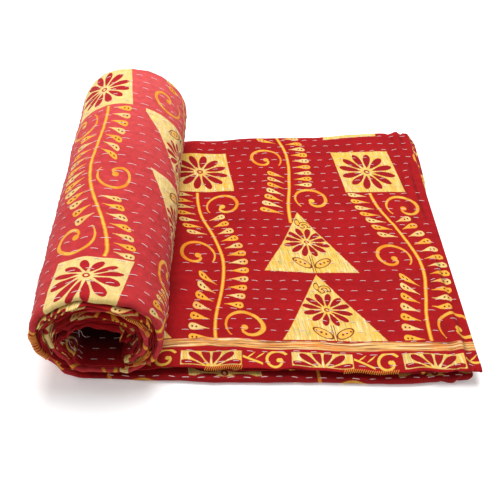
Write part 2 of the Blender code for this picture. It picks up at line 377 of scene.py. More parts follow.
def station_rings(place, steps, shares):
    """Outer and inner faces of one cloth at one station, and the section's own run."""
    run = place["run"]
    angle = place["angle"]
    length = place_length(run, angle, place["slide"])
    pressed = float(ease((run - PRESSED_FROM) / (FLAT_RUN - PRESSED_FROM)))
    cloth = mix(CLOTH_FLAT, CLOTH_ROLLED, pressed)
    pack = float(mix(PACK_NIP, PACK_FLAT, ease((FLAT_RUN - run - NIP_RUN) / NIP_RISE)))
    if angle > 0.0:
        pack = roll_thickness(angle)
    cloth = min(cloth, pack * CLOTH_SHARE)
    y, level = section_line(pack, cloth, length, angle, steps)
    side = place["side"]
    drift = hem_drift(side, length, angle)
    depth = y - y[0]
    from_hem_b = y - y[-1]
    names = column_places(steps)
    near_a = np.isin(names, ("hem_a", "pass_1")) * (1.0 - ease(depth / HEM_DRIFT_REACH))
    near_b = np.isin(names, ("hem_b", "pass_2")) * (1.0 - ease(from_hem_b / HEM_DRIFT_REACH))
    y = y + drift * near_a - SECOND_HEM_DRIFT * drift * near_b
    normal_y, normal_n = side_normals(y, level)
    radii = (cloth / 2.0, cloth * GAP_SHARE / 2.0)
    faces = []
    middle = sum(radii) / 2.0
    for radius in radii:
        offset = middle + (radius - middle) * shares
        at_run = run
        turn = side
        if place["fold"] is not None:
            turn = math.cos(place["fold"])
            at_run = run - radius * math.sin(place["fold"])
        at_y = y + normal_y * offset * turn
        at_level = level + normal_n * offset * turn
        x, yy, z = lift(at_run, angle, place["slide"], at_y, at_level, pack)
        faces.append(np.stack([np.broadcast_to(x, yy.shape), yy, z], axis=1))
    sweep = length if side > 0 else -length
    return faces[0], faces[1], sweep


def section_width(steps, angle, run):
    """Distance of each column from the top hem along the cloth, at a typical place."""
    pack = PACK_ROLLED if angle > 0.0 else PACK_FLAT
    cloth = min(CLOTH_ROLLED if angle > 0.0 else CLOTH_FLAT, pack * CLOTH_SHARE)
    length = place_length(run, angle, None)
    y, level = section_line(pack, cloth, length, angle, steps)
    normal_y, normal_n = side_normals(y, level)
    y = y + normal_y * cloth / 2.0
    level = level + normal_n * cloth / 2.0
    return np.concatenate([[0.0], np.cumsum(np.hypot(np.diff(y), np.diff(level)))])


def end_creases(along, v):
    """Creases that run beside the flat end, and the ripples of its front corner."""
    wander = CREASE_WANDER_MESH["size"] * math.sin(v * CREASE_WANDER_MESH["rate"])
    size = sum(c["size"] * float(bell(along + wander, c["at"], c["reach"])) for c in END_CREASES)
    uneven = math.sin(v * CREASE_DEPTHS["rate"] + CREASE_DEPTHS["phase"])
    size *= CREASE_DEPTHS["least"] + CREASE_DEPTHS["more"] * uneven
    near = float((1.0 - ease(along / CORNER_REACH["run"])) * (1.0 - ease(v / CORNER_REACH["depth"])))
    wave = math.sin(TURN * along / CORNER_RIPPLE_PITCH + CORNER_RIPPLE_PHASE)
    return size + CORNER_RIPPLE * near * wave


def cell_noise(along, across, cells):
    return noise.noise(Vector((along * cells[0], across * cells[1], cells[2])))


def relief(sweep, across, strength, on_strip):
    """Puckers along the stitch rows and short ripples across them."""
    heights = np.zeros((len(sweep), len(across)))
    pillow = -np.cos(TURN * across / ROW_PITCH)
    for j, along in enumerate(sweep):
        for i, v in enumerate(across):
            if strength[i] <= 0.0:
                continue
            swell = cell_noise(along, v, SWELL_CELLS)
            heights[j, i] = PUCKER * pillow[i] * (PUCKER_LEAST + PUCKER_UNEVEN * swell)
            heights[j, i] += RIPPLE * cell_noise(along, v, RIPPLE_CELLS) + SWELL * swell
            if on_strip:
                heights[j, i] += end_creases(along, v)
    return heights * strength[None, :]


# Columns of each stretch of the section; they are fine where the cloth is seen.
PLAIN_COLUMNS = {"pass_1": 10, "back_fold": 8, "pass_4": 10, "front_fold": 8,
                 "pass_3": 8, "inner_fold": 6, "pass_2": 8}
FLAT_COLUMNS = PLAIN_COLUMNS | {"pass_1": 132, "back_fold": 12}
TURN_COLUMNS = PLAIN_COLUMNS | {"pass_1": 12, "back_fold": 12, "pass_4": 132}
CORE_COLUMNS = PLAIN_COLUMNS | {"pass_1": 96, "back_fold": 10, "pass_4": 12}

STRIP_MIDDLE = 0.2          # the strip's width across the passes is measured here
RELIEF_BLEND = 5            # columns over which the small relief fades out
# Print: its lean on the cloth and where its rows lie on the strip and on the roll.
STRIP_LEAN = 0.17
# Rows also run a little uphill towards the roll, which drags the print beside it.
STRIP_TILT = {"size": 0.042, "x": 0.040, "from": -0.150, "reach": 0.150, "to": 0.18, "fade": 0.05}
PULL = {"size": 0.011, "x": -0.010, "reach": 0.050, "from": 0.020, "fade": 0.070}
FRONT_ROWS_ON = 0.137       # how much further the design is where it turns up at the front
FRONT_COLUMNS_ON = 0.066
FRONT_ON_REACH = 0.30
RIM_SHEAR = {"from": 0.128, "slope": 0.30, "right": 0.0045, "right_from": 0.030, "right_reach": 0.080,
             "down": 0.007, "down_from": 0.060, "down_reach": 0.060,
             "up": 0.015, "up_from": 0.0375, "up_reach": 0.026, "flower": 0.140}
ROLL_PULL = {"size": 0.0080, "y": -0.020, "y_reach": 0.075, "arc": 0.120, "arc_half": 0.020,
             "arc_fade": 0.030}
ROLL_LEAN = 0.108
COLUMN_A = 0.158
COLUMN_PERIOD = 0.2085
ROLL_ARC_FROM = math.radians(60.0)
ROLL_COLUMN_AT = 0.1157
ROLL_SCALE = 0.965
STRIP_ROW_AT = -0.1895      # print's row value at the top hem
ROLL_ROW_AT = -0.055        # and on the roll's outside at its middle


def outer_arcs(outer, places, names):
    """Length round the shell's outside at its middle, from where the print is measured."""
    column = np.flatnonzero(names == "pass_4")
    column = column[len(column) // 2]
    steps = np.linalg.norm(np.diff(outer[:, column], axis=0), axis=1)
    arcs = np.concatenate([[0.0], np.cumsum(steps)])
    angles = np.array([p["angle"] for p in places])
    if angles[0] >= TURN - 1e-6:
        return arcs
    return arcs - np.interp(ROLL_ARC_FROM, angles, arcs)


def paired(a, b):
    return np.stack(np.broadcast_arrays(a, b), axis=2)


def strip_print(rows, x):
    """Place in the design of each point of the strip: it leans, tilts and is dragged."""
    tilt = ease((rows - STRIP_TILT["from"]) / STRIP_TILT["reach"])
    tilt = tilt * (1.0 - ease((rows - STRIP_TILT["to"]) / STRIP_TILT["fade"]))
    pull = (1.0 - ease((x - PULL["x"]) / PULL["reach"])) * (1.0 - ease((rows - PULL["from"]) / PULL["fade"]))
    rows_there = rows + STRIP_TILT["size"] * tilt * (x - STRIP_TILT["x"])
    columns = x + STRIP_LEAN * rows + PULL["size"] * pull
    return paired(columns, rows_there)


def roll_print(rows, arcs):
    """The same design on the roll, the other way up because the cloth is folded over."""
    shear = RIM_SHEAR
    from_middle = rows[None, :] - ROLL_ROW_AT
    arc = arcs[:, None] - shear["right"] * ease((from_middle - shear["right_from"]) / shear["right_reach"])
    arc = arc + shear["slope"] * np.maximum(0.0, from_middle - shear["from"])
    pull = ROLL_PULL["size"] * bell(-from_middle, ROLL_PULL["y"], ROLL_PULL["y_reach"])
    pull = pull * (1.0 - ease((np.abs(arc - ROLL_PULL["arc"]) - ROLL_PULL["arc_half"])
                              / ROLL_PULL["arc_fade"]))
    columns = COLUMN_A - ROLL_SCALE * (arc - ROLL_LEAN * from_middle - ROLL_COLUMN_AT) + pull
    down = ease((rows - ROLL_ROW_AT - shear["down_from"]) / shear["down_reach"])
    rows_there = rows - shear["down"] * down
    flower = FLOWER_ROW + PERIOD_A * round((ROLL_ROW_AT + shear["flower"] - FLOWER_ROW) / PERIOD_A)
    past_edge = rows_there - flower + shear["up_from"]
    rows_there = rows_there + shear["up"] * ease(past_edge / shear["up_reach"])
    return paired(columns, rows_there[None, :])


def closed_run(outer, inner, prints, cloths):
    """Closed mesh between an outer grid and a sparser choice of the inner one."""
    count = outer.shape[1]
    ends = [len(HEM_RUNS), count - 1 - len(HEM_RUNS), count - 1]
    kept = np.unique(np.append(np.arange(0, count, INNER_EVERY), ends))
    ring = count + len(kept)
    order = np.concatenate([np.arange(count), kept[::-1]])
    points = np.concatenate([outer, inner[:, kept[::-1]]], axis=1).reshape(-1, 3)
    faces = []
    for j in range(len(outer) - 1):
        low = j * ring
        for i in range(ring):
            k = (i + 1) % ring
            faces.append((low + i, low + k, low + ring + k, low + ring + i))
    for j, flip in ((0, False), (len(outer) - 1, True)):
        low = j * ring
        for m in range(len(kept) - 1):
            side = [low + i for i in range(kept[m], kept[m + 1] + 1)]
            face = side + [low + ring - 2 - m, low + ring - 1 - m]
            faces.append(tuple(face if flip else face[::-1]))
    if signed_volume(points, faces) < 0.0:
        faces = [face[::-1] for face in faces]
    return points, faces, prints[:, order].reshape(-1, 2), cloths[:, order].reshape(-1, 2)


def grid_normals(outer, inner):
    """Unit directions out of the outer grid, away from the inner one."""
    normals = np.cross(np.gradient(outer, axis=1), np.gradient(outer, axis=0))
    normals /= np.linalg.norm(normals, axis=2, keepdims=True) + 1e-12
    return -normals if np.sum(normals * (outer - inner)) < 0.0 else normals


def shell(places, steps, in_roll, fine):
    """One closed run of one cloth: vertices, faces, both maps and its outer grid."""
    shares = np.ones(len(column_places(steps)))
    shares[:len(HEM_SHARES)] = HEM_SHARES
    shares[-len(HEM_SHARES):] = HEM_SHARES[::-1]
    names = column_places(steps)
    across = section_width(steps, TURN / 2.0 if in_roll else 0.0, FLAT_RUN if in_roll else STRIP_MIDDLE)
    outer = []
    inner = []
    sweep = []
    for place in places:
        out_ring, in_ring, along = station_rings(place, steps, shares)
        outer.append(out_ring)
        inner.append(in_ring)
        sweep.append(along)
    outer = np.array(outer)
    inner = np.array(inner)
    sweep = np.array(sweep)

    normals = grid_normals(outer, inner)
    strength = np.isin(names, fine).astype(float)
    kernel = np.ones(RELIEF_BLEND) / RELIEF_BLEND
    strength = np.convolve(np.pad(strength, RELIEF_BLEND // 2, mode="edge"), kernel, mode="valid")
    if strength.max() > 0.0:
        free = np.array([1.0 if p["side"] > 0 and p["fold"] is None else 0.0 for p in places])
        heights = relief(sweep, across, strength, not in_roll) * free[:, None]
        outer = outer + normals * heights[:, :, None]
        outer[:, :, 2] = np.maximum(outer[:, :, 2], 0.0)

    # Maps in metres.
    if in_roll:
        pass_4 = names == "pass_4"
        y_row = outer[len(places) // 3][:, 1]
        at_middle = np.interp(0.0, y_row[pass_4][::-1], across[pass_4][::-1])
        prints = roll_print(across - at_middle + ROLL_ROW_AT, outer_arcs(outer, places, names))
    else:
        on_front = ease((across - across[names == "back_fold"][-1]) / FRONT_ON_REACH)
        rows = (across + STRIP_ROW_AT + FRONT_ROWS_ON * on_front)[None, :]
        prints = strip_print(rows, outer[:, :, 0] + FRONT_COLUMNS_ON * on_front[None, :])
    cloths = paired(sweep[:, None], across[None, :])

    grid = {"sweep": sweep, "across": across, "points": outer, "normals": normals, "names": names}
    return closed_run(outer, inner, prints, cloths) + (grid,)


def signed_volume(points, faces):
    """Volume inside closed faces, below zero where they look inwards."""
    fans = [(f[0], f[m], f[m + 1]) for f in faces for m in range(1, len(f) - 1)]
    a, b, c = (points[np.array(fans)[:, k]] for k in range(3))
    return float(np.sum(a * np.cross(b, c))) / 6.0


# Flap: the lowest cloth of the pack runs on alone inside the roll, lying on the last turn.
FLAP_END = TURN * 2.74
FLAP_STEPS = 50
FLAP_COLUMNS = 64
FLAP_THICK = 0.0026
FLAP_FRONT = 0.0052         # behind the front
FLAP_PINCH = 0.0065         # it leaves the wall above and below the left side
FLAP_CRUMPLE = 0.0034
FLAP_FOLDS = ({"size": 1.0, "by_angle": 8.0, "by_depth": 26.0, "phase": 0.0},
              {"size": 0.6, "by_angle": 19.0, "by_depth": -60.0, "phase": 12.03})
FLAP_LIFT = {"least": 0.35, "more": 0.65, "depth": 0.120}
FLAP_RIGHT = {"from": 1.1 * math.pi, "reach": 0.5, "least": 1.2}
FLAP_WAVES = ((0.0014, 7.0), (0.0009, 15.0))     # size of the hem's waves, and their number a turn
FLAP_SET_BACK = 0.0012
FLAP_WIDTH = WIDTH_AT_ROLL - 0.030
FLAP_RADII = (0.48, 0.05)   # outer and inner face of one cloth, as shares of the flap's thickness
FLAP_EDGE_SHARE = 0.4
FLAP_CLEAR = 0.0003
FLAP_NEAR_BOTTOM = 0.02     # an angle
MOUTH_LOW = Vector((-0.1775, -0.215, 0.0290))    # kept clear for the roll's open core
MOUTH_HIGH = Vector((-0.1335, 0.215, 0.0835))


def out_of_core(points):
    """Points that would stand in the open core are moved to its nearest side."""
    x = points[..., 0]
    z = points[..., 2]
    held = (x > MOUTH_LOW.x) & (x < MOUTH_HIGH.x) & (z > MOUTH_LOW.z) & (z < MOUTH_HIGH.z)
    to_side = np.stack([x - MOUTH_LOW.x, MOUTH_HIGH.x - x, z - MOUTH_LOW.z, MOUTH_HIGH.z - z])
    nearest = np.argmin(to_side, axis=0)
    for side, (axis, value) in enumerate(((0, MOUTH_LOW.x), (0, MOUTH_HIGH.x),
                                          (2, MOUTH_LOW.z), (2, MOUTH_HIGH.z))):
        chosen = held & (nearest == side)
        points[..., axis][chosen] = value
    return points


def flap_lift(angle, y):
    """How far the flap stands off the turn that it lies on."""
    past = angle - 2.0 * TURN
    if past <= 0.0:
        return np.zeros_like(y)
    depth = y - FRONT_Y
    front = FLAP_LIFT["least"] + FLAP_LIFT["more"] * (1.0 - ease(depth / FLAP_LIFT["depth"]))
    pinch = FLAP_PINCH * math.sin(2.0 * past) ** 2 if past < math.pi else 0.0
    right = float(ease((past - FLAP_RIGHT["from"]) / FLAP_RIGHT["reach"]))
    folds = sum(f["size"] * np.sin(f["by_angle"] * past + f["by_depth"] * depth + f["phase"])
                for f in FLAP_FOLDS)
    return front * (pinch + right * (FLAP_CRUMPLE * (FLAP_RIGHT["least"] + folds)))


def flap_face(places, depth, level, side):
    """Grid of one face of one cloth of the flap."""
    grid = []
    for angle, slide in places:
        front = FLAP_FRONT + (FLAP_SET_BACK if side < 0 else 0.0)
        for (size, rate), phase in zip(FLAP_WAVES, (0.0, side)):
            front += size * math.sin(rate * angle + phase)
        y = FRONT_Y + front + depth
        off = level + flap_lift(angle, y) + FLAP_CLEAR
        grid.append(np.stack(lift(FLAT_RUN, angle, slide, y, off, 1.0), axis=1))
    return np.array(grid)


def inner_flap(grids):
    """Both cloths of the flap."""
    angles = np.linspace(ROLL_END, FLAP_END, FLAP_STEPS)
    places = [(a, None) for a in angles if a < 2.0 * TURN - FLAP_NEAR_BOTTOM]
    places += [(2.0 * TURN, FLAT_SPOT * share) for share in (1.0, 0.5, 0.0, -0.5, -1.0)]
    places += [(a, None) for a in angles if a > 2.0 * TURN + FLAP_NEAR_BOTTOM]
    start = float(grids["core"]["sweep"][-1])
    depth = np.concatenate([HEM_RUNS, np.linspace(HEM_RUNS[-1], FLAP_WIDTH, FLAP_COLUMNS)[1:]])
    shares = np.ones(len(depth))
    shares[:len(HEM_SHARES)] = HEM_SHARES
    shares[-1] = FLAP_EDGE_SHARE
    middle = sum(FLAP_RADII) / 2.0
    made = []
    for side in (1, -1):
        levels = [FLAP_THICK * (0.5 + side * (middle + (radius - middle) * shares)) for radius in FLAP_RADII]
        outer, inner = (flap_face(places, depth, level, side) for level in levels)
        away = out_of_core(outer.copy()) - outer
        outer = outer + away
        inner = inner + away
        steps = np.linalg.norm(np.diff(outer[:, len(HEM_RUNS) + 6], axis=0), axis=1)
        sweep = start + np.concatenate([[0.0], np.cumsum(steps)])
        cloths, prints = (paired(sweep[:, None], rows[None, :]) for rows in (depth, depth + STRIP_ROW_AT))
        grid = {"sweep": sweep, "across": depth, "points": outer, "normals": grid_normals(outer, inner)}
        if side > 0:
            grids["flap"] = grid
        made.append(closed_run(outer, inner, prints, cloths) + (grid,))
    return made


# Stations of the shells: the strip's are denser up to a run, and few lie under it.
NEAR_RUN = 0.300
NEAR_STATIONS = 101
FAR_STATIONS = 13
END_STATIONS = 8
UNDER_STATIONS = 26
TURN_STATIONS = {"outer": 132, "under": 52}
CORE_STATIONS = {"outer": 72, "under": 48}


def flat_places():
    start = CLOTH_FLAT / 2.0
    near = np.linspace(start, NEAR_RUN, NEAR_STATIONS)
    far = np.linspace(NEAR_RUN, FLAT_RUN, FAR_STATIONS)[1:]
    places = [station(run) for run in list(far[::-1]) + list(near[::-1])]
    for i in range(1, END_STATIONS):
        places.append(station(start, fold=math.pi * i / END_STATIONS))
    for run in np.linspace(start, FLAT_RUN, UNDER_STATIONS):
        places.append(station(run, side=-1))
    return places


def roll_places(first, last, steps, side=1):
    places = []
    for i in range(steps + 1):
        angle = mix(first, last, i / steps)
        if angle <= 0.0:
            places.append(station(FLAT_RUN, side=side))
            continue
        if first < TURN - 1e-6 <= angle and i == steps:
            places.append(station(FLAT_RUN, TURN, FLAT_SPOT, side))
            continue
        if first > TURN - 1e-6 and i == 0:
            for share in (1.0, 0.33, -0.33, -1.0):
                places.append(station(FLAT_RUN, TURN, FLAT_SPOT * share, side))
            continue
        places.append(station(FLAT_RUN, angle, None, side))
    return places


def set_map(mesh, name, values):
    layer = mesh.uv_layers.new(name=name)
    index = np.empty(len(mesh.loops), dtype=np.int32)
    mesh.loops.foreach_get("vertex_index", index)
    layer.data.foreach_set("uv", values[index].astype(np.float32).ravel())


def quilt_cloth():
    """All shells of both cloths as one mesh, and the grids that carry the stitches."""
    turn = [roll_places(0.0, TURN, TURN_STATIONS["outer"]),
            roll_places(0.0, TURN, TURN_STATIONS["under"], -1)]
    core = [roll_places(TURN, ROLL_END, CORE_STATIONS["outer"]),
            roll_places(TURN, ROLL_END, CORE_STATIONS["under"], -1)]
    # Name, stations, columns, whether it is in the roll, and its stretches with small relief.
    wanted = (
        ("strip", flat_places(), FLAT_COLUMNS, False, ("hem_a", "pass_1", "back_fold", "front_fold")),
        ("turn", turn[0], TURN_COLUMNS, True, ("pass_4", "back_fold", "front_fold")),
        ("core", core[0], CORE_COLUMNS, True, ("hem_a", "pass_1")),
        ("turn_under", turn[1], PLAIN_COLUMNS, True, ()),
        ("core_under", core[1], PLAIN_COLUMNS, True, ()),
    )
    runs = []
    points = []
    faces = []
    prints = []
    cloths = []
    grids = {}
    base = 0
    for name, places, steps, in_roll, fine in wanted:
        runs.append(shell(places, steps, in_roll, fine))
        grids[name] = runs[-1][4]
    runs += inner_flap(grids)
    for p, f, print_map, cloth_map, _grid in runs:
        points.append(p)
        faces += [tuple(base + i for i in face) for face in f]
        prints.append(print_map)
        cloths.append(cloth_map)
        base += len(p)
    mesh = bpy.data.meshes.new("quilt_cloth")
    mesh.from_pydata([tuple(p) for p in np.concatenate(points)], [], faces)
    set_map(mesh, "Print", np.concatenate(prints))
    set_map(mesh, "Cloth", np.concatenate(cloths))
    mesh.polygons.foreach_set("use_smooth", [True] * len(mesh.polygons))
    mesh.update()
    return mesh, grids


def on_grid(grid, along, across):
    """Point and outward direction on a shell's outer face."""
    sweep = grid["sweep"]
    j = np.interp(along, sweep, np.arange(len(sweep))) if sweep[0] < sweep[-1] else \
        np.interp(-along, -sweep, np.arange(len(sweep)))
    i = np.interp(across, grid["across"], np.arange(len(grid["across"])))
    j0 = int(min(j, len(sweep) - 2))
    i0 = int(min(i, len(grid["across"]) - 2))
    fj = j - j0
    fi = i - i0
    found = []
    for key in ("points", "normals"):
        g = grid[key]
        low = g[j0, i0] * (1 - fi) + g[j0, i0 + 1] * fi
        high = g[j0 + 1, i0] * (1 - fi) + g[j0 + 1, i0 + 1] * fi
        found.append(low * (1 - fj) + high * fj)
    normal = found[1] / np.linalg.norm(found[1])
    return found[0], normal


# Running stitches, sewn by eye.
DASH = 0.0084
DASH_SPREAD = (0.78, 1.15)
DASH_TILT = 0.0006
DASH_RISE = (-0.00035, 0.00018, 0.00030, 0.00018, -0.00035)
PITCH_SPREAD = (0.90, 1.10)
ROW_WANDERS = ((0.0007, 0.17, 1.9), (0.0004, 0.06, 1.0))     # size, metres a wave, phase a row
# Stitched stretches: along the strip and its front fold, across the core and the flap.
STITCHED = {"strip": (0.004, 0.305), "front_fold": (0.004, 0.380), "core": (0.006, 0.36),
            "flap": (0.006, 0.33)}
# How many stations of a shell are left without stitches at its start and at its end.
UNSTITCHED = {"turn": (4, 12), "core": (2, 1), "flap": (1, 2)}
CORE_STITCH_MARGIN = 0.002
FOLD_STITCH_MARGIN = 0.004
DASH_PITCH = 0.0155
THREAD_HALF = 0.00038
THREAD_TIP = 0.45           # of its thickness
THREAD_FLAT = 0.8           # height to width


def tube(points, normals, half, sides=5):
    """A thread through points, its ends drawn to a small round."""
    rings = []
    count = len(points)
    for m in range(count):
        ahead = points[min(m + 1, count - 1)] - points[max(m - 1, 0)]
        ahead = ahead / np.linalg.norm(ahead)
        across = np.cross(ahead, normals[m])
        across = across / np.linalg.norm(across)
        up = np.cross(across, ahead)
        thin = THREAD_TIP if m in (0, count - 1) else 1.0
        ring = []
        for s in range(sides):
            turn = TURN * s / sides
            out = across * math.cos(turn) + up * math.sin(turn) * THREAD_FLAT
            ring.append(points[m] + out * half * thin)
        rings.append(ring)
    vertices = [v for ring in rings for v in ring]
    faces = []
    for m in range(count - 1):
        for s in range(sides):
            k = (s + 1) % sides
            faces.append((m * sides + s, m * sides + k, (m + 1) * sides + k, (m + 1) * sides + s))
    faces.append(tuple(range(sides))[::-1])
    faces.append(tuple((count - 1) * sides + s for s in range(sides)))
    return vertices, faces


class Bundle:
    """Many small bodies gathered into one mesh."""

    def __init__(self):
        self.points = []
        self.faces = []

    def add(self, vertices, faces):
        base = len(self.points)
        self.points += [(v[0], v[1], max(float(v[2]), 0.0)) for v in vertices]
        self.faces += [tuple(base + i for i in face) for face in faces]

    def piece(self, name, material):
        mesh = bpy.data.meshes.new(name)
        mesh.from_pydata(self.points, [], self.faces)
        mesh.polygons.foreach_set("use_smooth", [True] * len(mesh.polygons))
        mesh.materials.append(material)
        return new_object(name, mesh)


def new_object(name, data):
    made = bpy.data.objects.new(name, data)
    bpy.context.scene.collection.objects.link(made)
    return made


def row_wander(row, along):
    return sum(size * math.sin(TURN * along / metres + row * phase) for size, metres, phase in ROW_WANDERS)


def stitch_rows(bundle, grid, along_range, across_range, rng):
    first = int(math.ceil(across_range[0] / ROW_PITCH - 0.5))
    last = int(math.floor(across_range[1] / ROW_PITCH - 0.5))
    for row in range(first, last + 1):
        at = (row + 0.5) * ROW_PITCH
        along = along_range[0] + rng.uniform(0.0, DASH_PITCH)
        while along < along_range[1] - DASH:
            size = DASH * rng.uniform(*DASH_SPREAD)
            tilt = rng.uniform(-DASH_TILT, DASH_TILT)
            points = []
            normals = []
            for share, rise in zip(np.linspace(0.0, 1.0, len(DASH_RISE)), DASH_RISE):
                t = along + size * share
                v = at + row_wander(row, t) + tilt * (share - 0.5) * 2.0
                point, normal = on_grid(grid, t, v)
                points.append(point + normal * rise)
                normals.append(normal)
            bundle.add(*tube(points, normals, THREAD_HALF))
            along += DASH_PITCH * rng.uniform(*PITCH_SPREAD)


def stitched_length(name, grids):
    """Where the stitches of a shell start and stop along the cloth."""
    first, last = UNSTITCHED[name]
    sweep = grids[name]["sweep"]
    return float(sweep[first]), float(sweep[-last])


def add_stitches(grids, material):
    rng = np.random.default_rng(SEED)
    bundle = Bundle()
    strip, turn, core, flap = (grids[name] for name in ("strip", "turn", "core", "flap"))
    back = strip["across"][strip["names"] == "back_fold"]
    fold = strip["across"][strip["names"] == "front_fold"]
    fold_rows = (float(fold[0]) - FOLD_STITCH_MARGIN, float(fold[-1]) + FOLD_STITCH_MARGIN)
    stitch_rows(bundle, strip, STITCHED["strip"], (STITCHED["strip"][0], float(back[-1])), rng)
    stitch_rows(bundle, strip, STITCHED["front_fold"], fold_rows, rng)
    outside = (float(turn["across"][turn["names"] == "back_fold"][0]),
               float(turn["across"][turn["names"] == "front_fold"][-1]))
    stitch_rows(bundle, turn, stitched_length("turn", grids), outside, rng)
    start, stop = stitched_length("core", grids)
    stitch_rows(bundle, core, (start, stop - CORE_STITCH_MARGIN), STITCHED["core"], rng)
    stitch_rows(bundle, flap, stitched_length("flap", grids), STITCHED["flap"], rng)
    return bundle.piece("running_stitches", material)


# Overcasting: thick orange thread wound over the hem, where it shows.
WRAP_PITCH = 0.0021
WRAP_HALF = 0.00054
ROPE_PITCH = 0.0034
ROPE_HALF = 0.00090
HEM_WRAPS = (("strip", 0.236, 0.272), ("strip", 0.082, 0.136))
ROLL_WRAPS = ((3.35, 4.45), (5.0, 5.75))        # by the roll's angle
ROPE_WRAPS = ((1.02, 1.72),)
WRAP_SLANT = 0.0022
SLANT_NEAR = 0.3            # shares of the slant where the thread nears and rounds the edge
SLANT_EDGE = 0.6
WRAP_AT = {"top": 0.0023, "near": 0.0012, "under": 0.0030}      # from the hem's edge
WRAP_OFF = {"top": 0.0002, "near": 0.0006, "edge": 0.0009, "round": 0.0008, "down": 0.0016,
            "under": 0.0032}
WRAP_LOOSE = 0.0004
ROPE = {"before": 0.0020, "past": 0.0008, "points": 6, "slant": 0.0028, "shake": 0.0002,
        "ends": 0.0002, "over": 0.0007, "sides": 6}


def wrap_hem(bundle, grid, along, rng):
    """One turn of thread round both cloths' hem."""
    top, normal = on_grid(grid, along, WRAP_AT["top"])
    near, _ = on_grid(grid, along + WRAP_SLANT * SLANT_NEAR, WRAP_AT["near"])
    edge, _ = on_grid(grid, along + WRAP_SLANT * SLANT_EDGE, 0.0)
    under, _ = on_grid(grid, along + WRAP_SLANT, WRAP_AT["under"])
    out = (edge - top) / np.linalg.norm(edge - top)
    loose = rng.uniform(0.0, WRAP_LOOSE)
    points = [top + normal * WRAP_OFF["top"], near + normal * (WRAP_OFF["near"] + loose),
              edge + out * (WRAP_OFF["edge"] + loose),
              edge + out * WRAP_OFF["round"] - normal * WRAP_OFF["down"],
              under - normal * WRAP_OFF["under"]]
    bundle.add(*tube(points, [normal, normal, out, out, -normal], WRAP_HALF))


def wrap_rim(bundle, grid, along, rng):
    """One turn of the thick rope over the roll's outer rim."""
    fold = grid["across"][grid["names"] == "front_fold"]
    last = ROPE["points"] - 1
    places = np.linspace(fold[0] - ROPE["before"], fold[-1] + ROPE["past"], ROPE["points"])
    points = []
    normals = []
    for m, v in enumerate(places):
        there = along + ROPE["slant"] * m / last + rng.uniform(-ROPE["shake"], ROPE["shake"])
        point, normal = on_grid(grid, there, v)
        points.append(point + normal * (ROPE["ends"] if m in (0, last) else ROPE["over"]))
        normals.append(normal)
    bundle.add(*tube(points, normals, ROPE_HALF, ROPE["sides"]))


def add_overcasting(grids, material):
    rng = np.random.default_rng(SEED + 1)
    bundle = Bundle()
    spans = [(name, low, high) for name, low, high in HEM_WRAPS]
    for low, high in ROLL_WRAPS:
        spans.append(("turn", place_length(FLAT_RUN, low, None), place_length(FLAT_RUN, high, None)))
    for name, low, high in spans:
        for along in np.arange(low, high, WRAP_PITCH):
            wrap_hem(bundle, grids[name], along, rng)
    for low, high in ROPE_WRAPS:
        spans = place_length(FLAT_RUN, low, None), place_length(FLAT_RUN, high, None)
        for along in np.arange(*spans, ROPE_PITCH):
            wrap_rim(bundle, grids["turn"], along, rng)
    return bundle.piece("hem_overcasting", material)


LOOSE_THREADS = 6
LOOSE_HALF = 0.00014
LOOSE_SPREAD = {"turns": (0.5, 0.9), "along": (0.36, 0.62), "depth": (0.0004, 0.0030),
                "size": (0.010, 0.022), "lean": (-0.9, 0.9), "droop": (0.3, 1.0)}
LOOSE_CURL = 0.0022
LOOSE_STEPS = 8
LOOSE_OFF = {"root": 0.0002, "rise": 0.35, "settle": 0.5}
LOOSE_HANG = {"right": 0.55, "aside": 0.25, "down": 0.7}     # shares of the length so far


def add_loose_threads(grids, material):
    """Thread ends that hang out of the flap's hem."""
    rng = np.random.default_rng(SEED + 2)
    bundle = Bundle()
    grid = grids["flap"]
    first, last = grid["sweep"][0], grid["sweep"][-1]
    for _ in range(LOOSE_THREADS):
        turns, share_along, depth, size, lean, droop = (rng.uniform(*span) for span in LOOSE_SPREAD.values())
        start, normal = on_grid(grid, mix(first, last, share_along), depth)
        points = []
        for m in range(LOOSE_STEPS + 1):
            share = m / LOOSE_STEPS
            step = size * share
            curl = LOOSE_CURL * math.sin(TURN * share * turns + lean)
            rise = LOOSE_OFF["rise"] * (1.0 - share * LOOSE_OFF["settle"])
            point = start + normal * (LOOSE_OFF["root"] + step * rise)
            hang = (step * LOOSE_HANG["right"] + curl, -LOOSE_HANG["aside"] * step * lean,
                    -droop * step * share * LOOSE_HANG["down"])
            points.append(point + np.array(hang))
        bundle.add(*tube(points, [normal] * len(points), LOOSE_HALF, 4))
    return bundle.piece("loose_threads", material)


class Term:
    """A number that varies over the surface; arithmetic on it adds Math nodes."""

    tree = None

    def __init__(self, socket):
        self.socket = socket

    def __add__(self, other):
        return math_node("ADD", self, other)

    def __sub__(self, other):
        return math_node("SUBTRACT", self, other)

    def __rsub__(self, other):
        return math_node("SUBTRACT", other, self)

    def __mul__(self, other):
        return math_node("MULTIPLY", self, other)

    def __truediv__(self, other):
        return math_node("DIVIDE", self, other)

    def __neg__(self):
        return math_node("MULTIPLY", self, -1.0)

    __radd__ = __add__
    __rmul__ = __mul__


def math_node(operation, *values, clamp=False):
    node = Term.tree.nodes.new("ShaderNodeMath")
    node.operation = operation
    node.use_clamp = clamp
    for k, value in enumerate(values):
        if isinstance(value, Term):
            Term.tree.links.new(value.socket, node.inputs[k])
        else:
            node.inputs[k].default_value = float(value)
    return Term(node.outputs[0])


def absolute(a):
    return math_node("ABSOLUTE", a)


def lowest(*values):
    found = values[0]
    for value in values[1:]:
        found = math_node("MINIMUM", found, value)
    return found


def highest(*values):
    found = values[0]
    for value in values[1:]:
        found = math_node("MAXIMUM", found, value)
    return found


def root(a):
    return math_node("SQRT", a)


